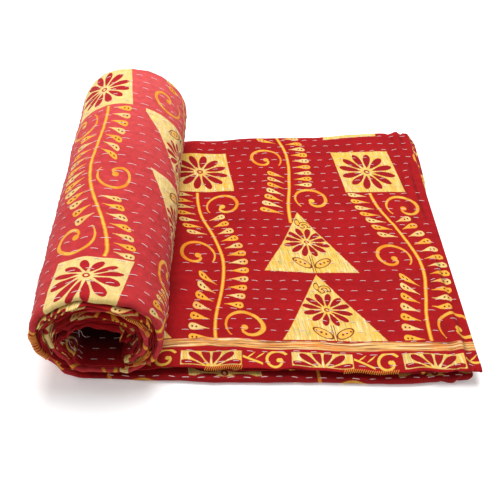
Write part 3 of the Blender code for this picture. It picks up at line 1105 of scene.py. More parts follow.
def hypot(a, b):
    return root(math_node("MULTIPLY_ADD", a, a, b * b))


def wrap(a, period):
    """Remainder from 0 to the period."""
    return math_node("FLOORED_MODULO", a, period)


def above(a, edge):
    return math_node("GREATER_THAN", a, edge)


def pick(share, when_one, when_zero):
    """when_one where share is 1."""
    return math_node("MULTIPLY_ADD", share, (when_one - when_zero), when_zero)


def ramp(value, slope, start):
    """A straight rise or fall that stops at 0 and 1."""
    return math_node("MULTIPLY_ADD", value, slope, start, clamp=True)


def inside(distance, softness=0.0007):
    """1 where the distance is below zero, with a soft edge."""
    return ramp(distance, -1.0 / softness, 0.5)


def around(value, middle, half):
    """1 no further than half from the middle."""
    return above(half - absolute(value - middle), 0.0)


def among(value, spans):
    """1 inside any of the spans."""
    return highest(*[around(value, (low + high) / 2.0, (high - low) / 2.0) for low, high in spans])


def smooth_wave(a):
    """Squared sine of a half turn per unit."""
    s = math_node("SINE", a * math.pi)
    return s * s


def angle_of(x, y):
    return math_node("ARCTAN2", y, x)


# Signed distances, roughly: below zero inside the form.
def box(x, y, half_x, half_y):
    return highest(absolute(x) - half_x, absolute(y) - half_y)


def disc(x, y, at_x, at_y, radius):
    return hypot(x - at_x, y - at_y) - radius


def stroke(distance, half):
    return absolute(distance) - half


def colour_mix(share, when_zero, when_one):
    node = Term.tree.nodes.new("ShaderNodeMix")
    node.data_type = "RGBA"
    for k, value in ((0, share), (6, when_zero), (7, when_one)):
        if isinstance(value, Term):
            Term.tree.links.new(value.socket, node.inputs[k])
        elif isinstance(value, bpy.types.NodeSocket):
            Term.tree.links.new(value, node.inputs[k])
        elif isinstance(value, tuple):
            node.inputs[k].default_value = (*value, 1.0)
        else:
            node.inputs[k].default_value = value
    return node.outputs[2]


def map_terms(name):
    node = Term.tree.nodes.new("ShaderNodeUVMap")
    node.uv_map = name
    split = Term.tree.nodes.new("ShaderNodeSeparateXYZ")
    Term.tree.links.new(node.outputs[0], split.inputs[0])
    return Term(split.outputs[0]), Term(split.outputs[1])


# Noise on the maps: cells a metre each way, detail, and a seed that keeps it apart.
NOISES = {
    "drift": (14.0, 14.0, 1.0, 4.0),
    "fuzz": (420.0, 420.0, 1.0, 7.0),
    "streak": (600.0, 42.0, 2.0, 1.0),
    "broad": (60.0, 24.0, 2.0, 2.0),
    "fine_streak": (760.0, 60.0, 1.0, 5.0),
    "worn": (30.0, 30.0, 3.0, 3.0),
    "slub": (120.0, 900.0, 2.0, 6.0),
    "mottle": (150.0, 190.0, 3.0, 21.0),
    "wrinkle": (260.0, 110.0, 3.0, 2.5),
    "band_wave": (13.0, 0.5, 2.0, 8.0),
    "band_lines": (16.0, 560.0, 1.0, 9.0),
    "band_hairs": (22.0, 700.0, 1.0, 13.0),
    "crease_wander": (9.0, 11.0, 1.0, 31.0),
    "crease_fade": (4.0, 14.0, 1.0, 33.0),
}
# Share of a colour made from noise: slope and start of the ramp.
SHARES = {
    "straw": (3.0, -0.9),
    "leaf_orange": (3.0, -1.2),
    "orange": (8.0, -4.2),
    "pale": (-8.0, 3.4),
    "sage": (9.0, -4.9),
    "crimson": (1.4, -0.2),
    "bright": (2.4, -1.1),
    "mottle": (2.2, -0.75),
    "band_orange": (9.0, -4.1),
    "band_brown": (12.0, -6.2),
    "band_pale": (-12.0, 4.5),
    "crease": (4.0, -1.3),
}


def noise_term(x, y, name):
    """Smooth noise from 0 to 1 with its own scale each way."""
    scale_x, scale_y, detail, seed = NOISES[name]
    join = Term.tree.nodes.new("ShaderNodeCombineXYZ")
    for k, value in enumerate((x * scale_x, y * scale_y)):
        Term.tree.links.new(value.socket, join.inputs[k])
    join.inputs[2].default_value = seed
    node = Term.tree.nodes.new("ShaderNodeTexNoise")
    node.inputs["Scale"].default_value = 1.0
    node.inputs["Detail"].default_value = detail
    Term.tree.links.new(join.outputs[0], node.inputs["Vector"])
    return Term(node.outputs[0])


# Print. A columns carry flower squares, B columns pairs of triangles; vines run between.
DRIFT = 0.004
FUZZ = {"across": 0.0009, "up": 0.0007}
NOWHERE = 0.02              # a distance that is outside every form
EDGE_SOFT = 0.0005
PERIOD_A = 0.312
FLOWER_ROW = 0.1145         # centre of the flower squares
SQUARE_HALF = (0.0365, 0.0385)
PERIOD_B = 0.45
TRIANGLE_BASE = -0.158
TRIANGLE_HIGH = 0.097
TRIANGLE_PITCH = 0.100
UPPER_FROM = 0.098
TRIANGLE_HALF = {"upper": 0.0480, "lower": 0.0550}
FLANK_SLANT = 0.88
PAIR_TOP = 0.21
EDGE_PIECE = {"along": 0.0850, "across": 0.3760, "half": (0.0375, 0.0070)}

# Flowers, and how they are squeezed in the triangles and in the border.
PETALS = {"count": 12, "from": 0.0064, "reach": 0.0276, "width": 0.0126, "edge": 0.0003}
HEART = {"radius": 0.0028, "half": 0.0010}
PETAL_MARGIN = 0.0008
TRIANGLE_FLOWER = {"row": 0.0468, "wide": 1.30, "high": 1.50}
HEM_FLOWER = {"row": 0.0005, "wide": 1.08, "high": 1.32}

# Vines: their stretch of the column, its top below the flower's centre, and their stem.
VINE_A = {"top": 0.0405, "length": 0.229, "middle": 0.156, "half": 0.1155, "swing": 0.0236,
          "left": 0.0076}
VINE_B = {"foot": 0.197, "length": 0.193, "from": 0.178, "swing": 0.021, "left": 0.0116,
          "swing_from": 0.168, "swing_run": 0.265}
STEM_HALF = 0.0019
RIB_HALF = 0.0009
PLAIN_BACK = ((0.342, 0.42),)

# Leaves: teardrops in rows; where along the vine they grow, right and left of the stem.
LEAF_PITCH = 0.0115
LEAF = {"from": 0.0062, "long": 0.0212, "wide": 0.0118, "power": 1.9, "edge": 0.0003, "bend": 0.0020}
LEAF_OUTSIDE = 0.01
LEAF_DOTS = {"at": 0.72, "apart": 0.10, "radius": 0.0011}
LEAVES_A = {"right": ((0.18, 0.79),), "left": ((0.02, 0.365), (0.63, 0.99))}
LEAVES_B = {"right": ((0.24, 1.00),), "left": ((-0.08, 0.34), (0.68, 1.22))}
RISE_RIGHT = {"a_slope": 0.9, "a_start": -0.42, "a_most": 0.25, "b": -0.05}
RISE_LEFT = {"a_slope": 1.9, "a_start": -0.08, "a_high": 0.10, "a_high_from": 0.55, "b": 0.32}

# Tendrils: place across the column, place along the vine, side of the stem.
CURLS_A = ((0.0255, 0.885, 1.0), (0.0250, 0.075, 1.0), (-0.0118, 0.525, -1.0))
CURLS_B = ((0.0235, 0.115, 1.0), (-0.0190, 0.51, -1.0), (0.0225, 1.14, 1.0))
CURL_BELOW = 0.105
CURL_ABOVE = 0.125
CURL = {"from": math.radians(215.0), "radius": 0.0190, "open": 0.0100, "close": 0.0250,
        "thin": 0.0007, "swell": 0.0012, "swell_rate": 3.0}
CURL_BULB = (-0.0010, -0.0008, 0.0034)

# Inside the triangles: a double twig, two dotted blades, a small scroll at the top.
TWIG = {"off": 0.0013, "half": 0.0004, "top": 0.026}
BLADE = {"root": 0.0095, "cos": 0.91, "sin": 0.42, "middle": 0.0125, "long": 2.1, "bend": 0.12,
         "half": 0.0050}
BLADE_DOTS = {"from": 0.0020, "pitch": 0.0050, "radius": 0.0012, "middle": 0.0140, "reach": 0.0070}
SCROLL = {"x": 0.0040, "y": 0.0735, "radius": 0.0050, "half": 0.0017, "from": 0.0716}
SCROLL_BULB = (0.0010, 0.0722, 0.0026)
SCROLL_TIP = {"x": -0.0038, "y": 0.0790, "wide": 1.4, "high": 0.7, "radius": 0.0036}
BLADE_LINE = 0.0005
SCROLL_LINE = 0.0006
GOLD_SHARE = 0.7

# Border along the top hem: half squares, scrolls with twigs and shoots, a striped band.
# "from" is the length along the cloth to a half square's middle, and half a repeat.
BORDER = {"depth": 0.0365, "soft": 0.0006, "from": 0.323, "repeat": 0.111}
HEM_SQUARE = {"row": 0.0115, "half": (0.0305, 0.0088)}
HEM_STROKES = {"row": 0.0110, "half": 0.0105}
HEM_SCROLL = {"x": 0.0095, "y": 0.0100, "from": 0.6, "radius": 0.0125, "close": 0.0080, "half": 0.0014}
HEM_BULB = (0.0025, 0.0008, 0.0024)
HEM_TWIG = {"x": 0.0170, "y": 0.0110, "slope": 0.45, "half": 0.0013, "middle": 0.0140, "reach": 0.0100}
HEM_SHOOTS = {"x": 0.0150, "y": 0.0120, "slope": 1.1, "apart": 0.0048, "half": 0.0013,
              "row": 0.0155, "taper": 0.25, "reach": 0.0040}
BAND = {"row": 0.0295, "half": 0.0054, "wave": 0.0085, "top": 0.05}
BAND_BOW = {"at": 0.272, "reach": 0.060, "size": 0.0035}

# Where on the cloth: the strip's run, the front fold, the hollow, the outside lightened by fading and by
# painted light.
STRIP_TO = 0.395
PLAIN_FOLD = 0.0600
# Half width of the front fold's face, which gets painted shade.
FOLD_FACE = 0.020
HOLLOW = {"after": 0.10, "up_to": 0.40, "shade_from": 0.004, "shade_reach": 0.030}
# The roll's outside is drawn lighter, partly for fading and partly as painted light.
FADED_AND_LIT_ZONE = {"from": 0.40, "slope": 30.0, "middle": 0.591, "half": 0.219}
# Painted highlight: the roll's outside is drawn paler towards the back fold, where light and sheen fall on
# it.
PAINTED_HIGHLIGHT = {"to": 0.76, "reach": 0.36, "share": 0.5}
CREASES = ({"at": 0.0120, "reach": 0.0026, "wander": 1.0, "share": 1.0},
           {"at": 0.0255, "reach": 0.0030, "wander": 0.7, "share": 0.6})
CREASE_WANDER = 0.0090
CREASES_TO = 0.37

# Relief finer than the mesh, in metres.
WEAVE_PITCH = 0.0011
WEAVE_DEPTH = 0.00004
WRINKLE_DEPTH = 0.0013
ROW_DEPTH = 0.00016
CREASE_DEPTH = 0.0016
BUMP_STRENGTH = 0.85


def srgb(red, green, blue):
    def linear(value):
        share = value / 255.0
        return share / 12.92 if share <= 0.04045 else ((share + 0.055) / 1.055) ** 2.4
    return tuple(linear(value) for value in (red, green, blue))


CRIMSON = srgb(168, 10, 16)
CRIMSON_DEEP = srgb(142, 5, 12)
BRIGHT_RED = srgb(188, 34, 40)
PETAL_RED = srgb(150, 12, 20)
FADED_AND_LIT_CREAM = srgb(238, 214, 148)
FADED_AND_LIT_RED = srgb(199, 60, 62)
PAINTED_HIGHLIGHT_PINK = srgb(232, 103, 102)
FADED_AND_LIT_DEEP = srgb(172, 24, 32)
LEAF_GOLD = srgb(238, 172, 60)
PEACH = srgb(230, 184, 112)
BAND_ORANGE = srgb(220, 136, 62)
DEEP_SHADE = srgb(46, 4, 8)
CREAM = srgb(228, 200, 126)
STRAW = srgb(230, 186, 76)
ORANGE = srgb(226, 138, 30)
PALE = srgb(244, 230, 188)
SAGE = srgb(170, 164, 92)
BROWN = srgb(112, 30, 16)
GREY_BROWN = srgb(146, 88, 58)
STITCH_PINK = srgb(244, 212, 212)
OVERCAST_ORANGE = srgb(224, 132, 26)
LOOSE_PALE = srgb(206, 182, 174)
# How strongly the threads and slubs of another colour show.
ORANGE_THREADS = 0.50
SAGE_THREADS = 0.75
FADED_AND_LIT_THREADS = 0.55
BRIGHT_SLUBS = 0.35
ORANGE_LEAVES = 0.8
# Shares of the deep shade colour laid over the colours: painted shade in the creases, deep in the hollow and
# on the front fold, and random darker mottle.
CREASE_SHADE = 0.35
MOTTLE_SHADE = 0.16
MOTTLE_MORE_FADED_AND_LIT = 0.10
HOLLOW_SHADE = 0.90
FOLD_SHADE = 0.20
COTTON = {"Roughness": 0.88, "Sheen Weight": 0.03, "Sheen Roughness": 0.5, "Specular IOR Level": 0.16}


def cloth_places(front_fold, last_turn):
    """Where a point lies: on the cloth, in its column's design, in the border, in the pack."""
    at = SimpleNamespace()
    at.p, at.q = map_terms("Print")
    at.along, at.across = map_terms("Cloth")

    # The printed cloth was never quite square: a slow drift of the whole design.
    drift = noise_term(at.p, at.q, "drift") - 0.5
    fuzz = noise_term(at.p, at.q, "fuzz") - 0.5
    p = at.p + drift * DRIFT + fuzz * FUZZ["across"]
    at.up = at.q + fuzz * FUZZ["up"]

    fold = wrap(p - COLUMN_A + COLUMN_PERIOD / 4.0, COLUMN_PERIOD)
    at.is_b = above(fold, COLUMN_PERIOD / 2.0)
    at.x = fold - COLUMN_PERIOD / 4.0 - at.is_b * (COLUMN_PERIOD / 2.0)
    below = wrap(FLOWER_ROW - at.up, PERIOD_A)
    at.below_flower = below
    at.flower_y = pick(above(below, PERIOD_A / 2.0), PERIOD_A - below, -below)
    at.up_b = wrap(at.up - TRIANGLE_BASE, PERIOD_B)
    at.is_upper = above(at.up_b, UPPER_FROM)
    at.up_triangle = at.up_b - at.is_upper * TRIANGLE_PITCH

    at.border = inside(at.across - BORDER["depth"], BORDER["soft"])
    at.border_x = wrap(BORDER["from"] - at.along, BORDER["repeat"]) - BORDER["repeat"] / 2.0
    at.on_strip = above(STRIP_TO - at.along, 0.0)
    # Deep in the open end: painted shade, without the pale grounds and the band.
    at.hollow = above(at.along, last_turn + HOLLOW["after"]) * above(HOLLOW["up_to"] - at.across, 0.0)
    at.plain_fold = around(at.across, front_fold - PLAIN_FOLD / 2.0, PLAIN_FOLD / 2.0) * at.on_strip
    # Painted shade on the front fold, which faces away from the light.
    at.fold_face = around(at.across, front_fold, FOLD_FACE) * at.on_strip
    # Lighter outside of the roll: partly fading, partly painted light.
    faded = ramp(at.along, FADED_AND_LIT_ZONE["slope"], -FADED_AND_LIT_ZONE["slope"] * FADED_AND_LIT_ZONE["from"])
    at.faded = faded * around(at.across, FADED_AND_LIT_ZONE["middle"], FADED_AND_LIT_ZONE["half"])
    return at


def pale_grounds(at):
    """Distances to the pale grounds of the design and to the triangles among them."""
    square = box(at.x, at.flower_y, *SQUARE_HALF)
    half_base = pick(at.is_upper, TRIANGLE_HALF["upper"], TRIANGLE_HALF["lower"])
    flank = absolute(at.x) - half_base * (1.0 - at.up_triangle / TRIANGLE_HIGH)
    triangle = highest(-at.up_triangle, flank * FLANK_SLANT)
    triangle = pick(above(at.up_b, PAIR_TOP), NOWHERE, triangle)
    ground = pick(at.is_b, triangle, square)
    hem_square = box(at.border_x, at.across - HEM_SQUARE["row"], *HEM_SQUARE["half"])
    ground = pick(at.border, hem_square, ground)
    # No pale grounds deep in the open end, part of the painted shade there.
    ground = pick(at.hollow, NOWHERE, ground)
    edge_piece = box(at.along - EDGE_PIECE["along"], at.across - EDGE_PIECE["across"], *EDGE_PIECE["half"])
    ground = lowest(ground, edge_piece)
    return pick(at.plain_fold, NOWHERE, ground), triangle


def flowers(at):
    """Distance to the red petals and the hearts' rings."""
    squeezed_y = (at.up_triangle - TRIANGLE_FLOWER["row"]) * TRIANGLE_FLOWER["high"]
    x = pick(at.is_b, at.x * TRIANGLE_FLOWER["wide"], at.x)
    y = pick(at.is_b, squeezed_y, at.flower_y)
    x = pick(at.border, (at.across - HEM_FLOWER["row"]) * HEM_FLOWER["high"], x)
    y = pick(at.border, at.border_x * HEM_FLOWER["wide"], y)
    r = hypot(x, y)
    slot = TURN / PETALS["count"]
    local = wrap(angle_of(x, y) + TURN, slot) - slot / 2.0
    share = (r - PETALS["from"]) / PETALS["reach"]
    half = share * root(highest(1.0 - share, 0.0)) * PETALS["width"]
    petal = absolute(r * math_node("SINE", local)) - half + PETALS["edge"]
    return lowest(petal, stroke(r - HEART["radius"], HEART["half"]))


def vine_share(at, up):
    """Place along the vine, from 0 at its foot to 1 at its top."""
    share_a = 1.0 - (wrap(FLOWER_ROW - up, PERIOD_A) - VINE_A["top"]) / VINE_A["length"]
    share_b = (wrap(up - TRIANGLE_BASE, PERIOD_B) - VINE_B["foot"]) / VINE_B["length"]
    return pick(at.is_b, share_b, share_a)


def vine_leaves(at, share, off):
    """Shares of leaf and of its two dots, and 0 or 1 for every other leaf."""
    side = above(off, 0.0)
    reach = absolute(off)
    right_a = lowest(share * RISE_RIGHT["a_slope"] + RISE_RIGHT["a_start"], RISE_RIGHT["a_most"])
    low_left = share * RISE_LEFT["a_slope"] + RISE_LEFT["a_start"]
    left_a = pick(above(share, RISE_LEFT["a_high_from"]), RISE_LEFT["a_high"], low_left)
    rise = pick(side, pick(at.is_b, RISE_RIGHT["b"], right_a), pick(at.is_b, RISE_LEFT["b"], left_a))
    u = (reach - LEAF["from"]) / LEAF["long"]
    tail = 1.0 - u
    foot = at.up - reach * rise + tail * tail * LEAF["bend"]
    row = math_node("ROUND", foot / LEAF_PITCH)
    v = absolute(foot - row * LEAF_PITCH)
    body = math_node("POWER", highest(u, 0.0), LEAF["power"]) * root(highest(tail, 0.0))
    leaf = v - body * LEAF["wide"] - LEAF["edge"] + (above(-u, 0.0) + above(u, 1.0)) * LEAF_OUTSIDE
    at_row = vine_share(at, row * LEAF_PITCH)
    grows = [pick(at.is_b, among(at_row, LEAVES_B[name]), among(at_row, LEAVES_A[name]))
             for name in ("right", "left")]
    leaf = inside(leaf) * pick(side, *grows)
    from_dots = (stroke(u - LEAF_DOTS["at"], LEAF_DOTS["apart"])) * LEAF["long"]
    dots = inside(hypot(from_dots, v) - LEAF_DOTS["radius"], EDGE_SOFT)
    return leaf, dots, wrap(row, 2.0)


def tendrils(at, share, off):
    """Distance to the nearest tendril; those left of the stem are mirrored."""
    x = 1.0
    y = 0.0
    for in_column, length, curls in ((1.0 - at.is_b, VINE_A["length"], CURLS_A),
                                     (at.is_b, VINE_B["length"], CURLS_B)):
        for at_x, at_share, hand in curls:
            here = among(share, ((at_share - CURL_BELOW, at_share + CURL_ABOVE),))
            here = here * above(off * hand, 0.0) * in_column
            x = pick(here, (at.x - at_x) * hand, x)
            y = pick(here, (share - at_share) * length, y)
    wound = wrap(CURL["from"] + TURN - angle_of(x, y), TURN) / TURN
    radius = wound * (CURL["open"] - wound * CURL["close"]) + CURL["radius"]
    half = lowest(wound * CURL["swell_rate"], 1.0) * CURL["swell"] + CURL["thin"]
    return lowest(absolute(hypot(x, y) - radius) - half, disc(x, y, *CURL_BULB))


def vines(at):
    """Shares of stem, its rib, leaves, their dots and tendrils, and every other leaf."""
    share = vine_share(at, at.up)
    wave_b = smooth_wave((at.up_b - VINE_B["swing_from"]) / VINE_B["swing_run"])
    stem_b = wave_b * VINE_B["swing"] - VINE_B["left"]
    stem_a = smooth_wave(share) * VINE_A["swing"] - VINE_A["left"]
    off = at.x - pick(at.is_b, stem_b, stem_a)
    in_a = around(at.below_flower, VINE_A["middle"], VINE_A["half"])
    shown = pick(at.is_b, above(at.up_b, VINE_B["from"]), in_a) * (1.0 - at.border)
    plain_back = among(at.across, PLAIN_BACK) * at.on_strip
    shown = shown * (1.0 - plain_back * (1.0 - at.is_b))
    leaf, dots, other = vine_leaves(at, share, off)
    leaf = leaf * shown
    stem = inside(stroke(off, STEM_HALF)) * shown
    rib = inside(stroke(off, RIB_HALF)) * shown * (1.0 - at.plain_fold)
    return stem, rib, leaf, dots * leaf, inside(tendrils(at, share, off)) * shown, other


def triangle_marks(at, triangle):
    """Shares of gold fill and of brown outline inside the triangles."""
    low_x = absolute(at.x)
    up = at.up_triangle
    twig = highest(stroke(low_x - TWIG["off"], TWIG["half"]), up - TWIG["top"])
    from_root = up - BLADE["root"]
    along = low_x * BLADE["cos"] + from_root * BLADE["sin"]
    side = from_root * BLADE["cos"] - low_x * BLADE["sin"]
    mid = along - BLADE["middle"]
    blade = hypot(mid / BLADE["long"], side - mid * BLADE["bend"]) - BLADE["half"]
    dot_x = wrap(along - BLADE_DOTS["from"], BLADE_DOTS["pitch"]) - BLADE_DOTS["pitch"] / 2.0
    dots = highest(hypot(dot_x, side) - BLADE_DOTS["radius"],
                   stroke(along - BLADE_DOTS["middle"], BLADE_DOTS["reach"]))
    ring = disc(at.x, up, SCROLL["x"], SCROLL["y"], SCROLL["radius"])
    tip = hypot((at.x - SCROLL_TIP["x"]) * SCROLL_TIP["wide"], (up - SCROLL_TIP["y"]) * SCROLL_TIP["high"])
    scroll = lowest(highest(stroke(ring, SCROLL["half"]), SCROLL["from"] - up),
                    disc(at.x, up, *SCROLL_BULB), tip - SCROLL_TIP["radius"])
    outlines = highest(inside(twig, EDGE_SOFT),
                       inside(stroke(blade, BLADE_LINE), EDGE_SOFT),
                       inside(stroke(scroll, SCROLL_LINE), EDGE_SOFT),
                       inside(dots, EDGE_SOFT) * inside(blade))
    within = inside(triangle + EDGE_SOFT) * at.is_b * (1.0 - at.border) * (1.0 - at.plain_fold)
    return inside(lowest(blade, scroll)) * within * GOLD_SHARE, outlines * within


def hem_strokes(at):
    """Share of the strokes between the border's half squares."""
    half_repeat = BORDER["repeat"] / 2.0
    x = at.border_x - pick(above(at.border_x, 0.0), half_repeat, -half_repeat)
    y = at.across
    scroll_x = x - HEM_SCROLL["x"]
    scroll_y = y - HEM_SCROLL["y"]
    turn = wrap(angle_of(scroll_x, scroll_y) - HEM_SCROLL["from"], TURN) / TURN
    radius = HEM_SCROLL["radius"] - turn * HEM_SCROLL["close"]
    scroll = stroke(hypot(scroll_x, scroll_y) - radius, HEM_SCROLL["half"])
    scroll = lowest(scroll, disc(scroll_x, scroll_y, *HEM_BULB))
    twig = stroke(y - HEM_TWIG["y"] + (x + HEM_TWIG["x"]) * HEM_TWIG["slope"], HEM_TWIG["half"])
    twig = highest(twig, stroke(x + HEM_TWIG["middle"], HEM_TWIG["reach"]))
    shoot = x + HEM_SHOOTS["x"] - (y - HEM_SHOOTS["y"]) * HEM_SHOOTS["slope"]
    shoot = stroke(stroke(shoot, HEM_SHOOTS["apart"]), HEM_SHOOTS["half"])
    from_row = absolute(y - HEM_SHOOTS["row"])
    shoot = highest(shoot + from_row * HEM_SHOOTS["taper"], from_row - HEM_SHOOTS["reach"])
    shown = around(y, HEM_STROKES["row"], HEM_STROKES["half"])
    return inside(lowest(scroll, twig, shoot)) * at.border * shown


def hem_band(at):
    """Share and colour of the striped band, which bows up beside the roll."""
    wave = (noise_term(at.along, at.across, "band_wave") - 0.5) * BAND["wave"]
    bow = highest(1.0 - absolute(at.along - BAND_BOW["at"]) / BAND_BOW["reach"], 0.0)
    off = at.across - BAND["row"] + wave - bow * bow * BAND_BOW["size"]
    lines = noise_term(at.along, off, "band_lines")
    hairs = noise_term(at.along, off, "band_hairs")
    colour = colour_mix(ramp(lines, *SHARES["band_orange"]), PEACH, BAND_ORANGE)
    colour = colour_mix(ramp(hairs, *SHARES["band_brown"]), colour, GREY_BROWN)
    colour = colour_mix(ramp(hairs, *SHARES["band_pale"]), colour, PALE)
    shown = inside(stroke(off, BAND["half"])) * above(BAND["top"] - at.across, 0.0)
    # No band deep in the open end, part of the painted shade there.
    return shown * (1.0 - at.hollow), colour


def yellow_threads(at, broad):
    """Pale grounds: threads of straw, orange, pale and sage along the columns."""
    streak = noise_term(at.p, at.q, "streak")
    fine_streak = noise_term(at.p, at.q, "fine_streak")
    yellow = colour_mix(ramp(broad, *SHARES["straw"]), CREAM, STRAW)
    yellow = colour_mix(ramp(streak, *SHARES["orange"]) * ORANGE_THREADS, yellow, ORANGE)
    yellow = colour_mix(ramp(streak, *SHARES["pale"]), yellow, PALE)
    yellow = colour_mix(ramp(fine_streak, *SHARES["sage"]) * SAGE_THREADS, yellow, SAGE)
    # Lighter threads on the roll's outside: partly fading, partly painted light.
    return colour_mix(at.faded * FADED_AND_LIT_THREADS, yellow, FADED_AND_LIT_CREAM)


def red_cloth(at):
    """Uneven crimson; what lay outermost in the roll is lighter, partly from fading and partly as painted
    light, and a painted highlight makes it paler towards the back fold.
    """
    worn = noise_term(at.along, at.across, "worn")
    slub = noise_term(at.along, at.across, "slub")
    red = colour_mix(ramp(worn, *SHARES["crimson"]), CRIMSON_DEEP, CRIMSON)
    red = colour_mix(ramp(slub, *SHARES["bright"]) * BRIGHT_SLUBS, red, BRIGHT_RED)
    red = colour_mix(at.faded, red, colour_mix(worn, FADED_AND_LIT_DEEP, FADED_AND_LIT_RED))
    # Painted highlight, paler towards the back fold.
    far = ramp(at.across, -1.0 / PAINTED_HIGHLIGHT["reach"], PAINTED_HIGHLIGHT["to"] / PAINTED_HIGHLIGHT["reach"])
    return colour_mix(at.faded * far * far * PAINTED_HIGHLIGHT["share"], red, PAINTED_HIGHLIGHT_PINK)


def end_folds(at):
    """Share of the creases beside the flat end that are too narrow for the mesh."""
    wander = (noise_term(at.along, at.across, "crease_wander") - 0.5) * CREASE_WANDER
    fade = ramp(noise_term(at.along, at.across, "crease_fade"), *SHARES["crease"])
    fade = fade * above(CREASES_TO - at.across, 0.0)
    creases = [highest(1.0 - absolute(at.along + wander * c["wander"] - c["at"]) / c["reach"], 0.0)
               * c["share"] for c in CREASES]
    return highest(*creases) * fade


def cloth_colour(at, crease):
    """The whole print from the ground up."""
    broad = noise_term(at.p, at.q, "broad")
    ground, triangle = pale_grounds(at)
    stem, rib, leaf, dots, tendril, other = vines(at)
    fill, outlines = triangle_marks(at, triangle)
    leaf_colour = colour_mix(other, CREAM, LEAF_GOLD)
    leaf_colour = colour_mix(ramp(broad, *SHARES["leaf_orange"]) * ORANGE_LEAVES, leaf_colour, ORANGE)
    # Lighter petals on the roll's outside: partly fading, partly painted light.
    petal_red = colour_mix(at.faded, PETAL_RED, FADED_AND_LIT_DEEP)
    tendril_colour = colour_mix(ramp(broad, *SHARES["straw"]), STRAW, ORANGE)

    colour = colour_mix(inside(ground), red_cloth(at), yellow_threads(at, broad))
    layers = [(inside(flowers(at)) * inside(ground + PETAL_MARGIN), petal_red),
              (fill, LEAF_GOLD), (outlines, BROWN), (stem, ORANGE), (rib, STRAW),
              (leaf, leaf_colour), (tendril, tendril_colour), (dots, BROWN),
              (hem_strokes(at), STRAW), hem_band(at)]
    mottle = ramp(noise_term(at.along, at.across, "mottle"), *SHARES["mottle"])
    # Painted shade deep in the open end, where the real roll is fuller and lets no light through.
    deeper = ramp(at.across, 1.0 / HOLLOW["shade_reach"], -HOLLOW["shade_from"] / HOLLOW["shade_reach"])
    # Painted shade in the creases, deep in the hollow and on the front fold; the mottle is random.
    shades = (crease * CREASE_SHADE,
              (1.0 - mottle) * (at.faded * MOTTLE_MORE_FADED_AND_LIT + MOTTLE_SHADE),
              at.hollow * deeper * HOLLOW_SHADE,
              at.fold_face * FOLD_SHADE)
    for share, over in layers + [(share, DEEP_SHADE) for share in shades]:
        colour = colour_mix(share, colour, over)
    return colour


def fine_relief(at, crease):
    """Height of the weave and of the small wrinkles that the stitches draw."""
    weave = math_node("SINE", at.along * (TURN / WEAVE_PITCH))
    weave = weave * math_node("SINE", at.across * (TURN / WEAVE_PITCH))
    wrinkle = noise_term(at.along, at.across, "wrinkle")
    rows = math_node("COSINE", at.across * (TURN / ROW_PITCH))
    height = weave * WEAVE_DEPTH + wrinkle * WRINKLE_DEPTH - rows * ROW_DEPTH
    return height - crease * CREASE_DEPTH


def new_material(name, settings):
    material = bpy.data.materials.new(name)
    material.use_nodes = True
    shader = material.node_tree.nodes["Principled BSDF"]
    for key, value in settings.items():
        shader.inputs[key].default_value = value
    return material, material.node_tree, shader


def printed_cotton(front_fold, last_turn):
    """Print, weave, fading with painted light, and painted shade; given are where the front fold ends and
    the last turn starts.
    """
    material, tree, shader = new_material("printed_cotton", COTTON)
    Term.tree = tree
    at = cloth_places(front_fold, last_turn)
    # The creases both dip the relief and get painted shade.
    crease = end_folds(at)
    tree.links.new(cloth_colour(at, crease), shader.inputs["Base Color"])
    bump = tree.nodes.new("ShaderNodeBump")
    bump.inputs["Strength"].default_value = BUMP_STRENGTH
    bump.inputs["Distance"].default_value = 1.0
    tree.links.new(fine_relief(at, crease).socket, bump.inputs["Height"])
    tree.links.new(bump.outputs[0], shader.inputs["Normal"])
    return material


THREAD_NOISE = 900.0
THREAD_DARKER = 0.72


def thread_material(name, colour):
    material, tree, shader = new_material(name, {"Roughness": 0.7})
    texture = tree.nodes.new("ShaderNodeTexNoise")
    texture.inputs["Scale"].default_value = THREAD_NOISE
    place = tree.nodes.new("ShaderNodeTexCoord")
    tree.links.new(place.outputs["Object"], texture.inputs["Vector"])
    Term.tree = tree
    darker = tuple(c * THREAD_DARKER for c in colour)
    tree.links.new(colour_mix(Term(texture.outputs[0]), darker, colour), shader.inputs["Base Color"])
    return material


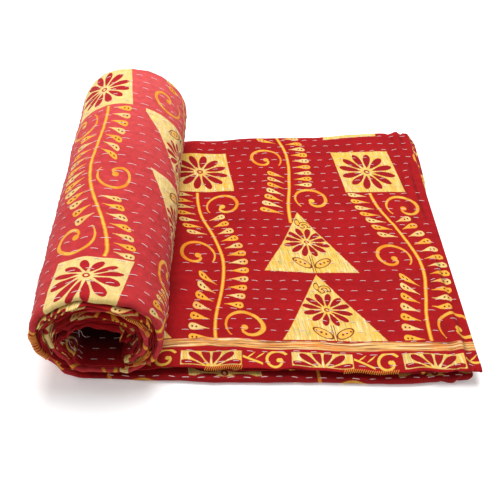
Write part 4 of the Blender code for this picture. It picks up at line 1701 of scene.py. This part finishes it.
# Stage: camera, floor, soft white world and two lamps.
CAMERA_AT = (-0.0083, -0.6405, 0.6316)
CAMERA_DOWN = math.radians(45.0)
CAMERA_LENS = 55.1
CAMERA_SENSOR = 36.0
FLOOR_HALF = 4.0
WHITE = (1.0, 1.0, 1.0, 1.0)
FLOOR = {"Base Color": (0.92, 0.92, 0.92, 1.0), "Roughness": 0.9, "Emission Color": WHITE,
         "Emission Strength": 0.21}
WORLD_STRENGTH = 0.38
LAMPS = {"overhead": {"at": (0.02, 0.60, 1.9), "size": 1.4, "power": 51.0},
         "left": {"at": (-1.6, -0.2, 1.3), "size": 1.2, "power": 7.0}}


def make_stage():
    scene = bpy.context.scene
    camera_data = bpy.data.cameras.new("camera")
    camera_data.lens = CAMERA_LENS
    camera_data.sensor_width = CAMERA_SENSOR
    camera = new_object("camera", camera_data)
    camera.location = CAMERA_AT
    camera.rotation_euler = (CAMERA_DOWN, 0.0, 0.0)
    scene.camera = camera

    mesh = bpy.data.meshes.new("floor")
    corners = [(x * FLOOR_HALF, y * FLOOR_HALF, 0.0) for x, y in ((-1, -1), (1, -1), (1, 1), (-1, 1))]
    mesh.from_pydata(corners, [], [(0, 1, 2, 3)])
    mesh.materials.append(new_material("pale_floor", FLOOR)[0])
    new_object("floor", mesh)

    world = bpy.data.worlds.new("soft_white")
    world.use_nodes = True
    background = world.node_tree.nodes["Background"]
    background.inputs["Color"].default_value = WHITE
    background.inputs["Strength"].default_value = WORLD_STRENGTH
    scene.world = world
    for name, lamp in LAMPS.items():
        data = bpy.data.lights.new(name, "AREA")
        data.shape = "DISK"
        data.size = lamp["size"]
        data.energy = lamp["power"]
        made = new_object(name, data)
        made.location = lamp["at"]
        made.rotation_euler = (-Vector(lamp["at"])).to_track_quat("-Z", "Y").to_euler()
    scene.view_settings.view_transform = "Standard"
    scene.view_settings.look = "None"


FOLD_PRINT_MORE = 0.0020    # the plain front fold ends this far past its own edge


def main():
    make_stage()
    mesh, grids = quilt_cloth()
    strip = grids["strip"]
    fold_end = float(strip["across"][strip["names"] == "front_fold"][-1])
    core = grids["core"]["sweep"]
    mesh.materials.append(printed_cotton(fold_end + FOLD_PRINT_MORE, float(core[0])))
    quilt = new_object("quilt_cloth", mesh)
    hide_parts("quilt")
    threads = [add_stitches(grids, thread_material("stitch_thread", STITCH_PINK)),
               add_overcasting(grids, thread_material("overcast_thread", OVERCAST_ORANGE)),
               add_loose_threads(grids, thread_material("loose_thread", LOOSE_PALE))]
    for piece in [quilt] + threads:
        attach(piece, "root")


main()
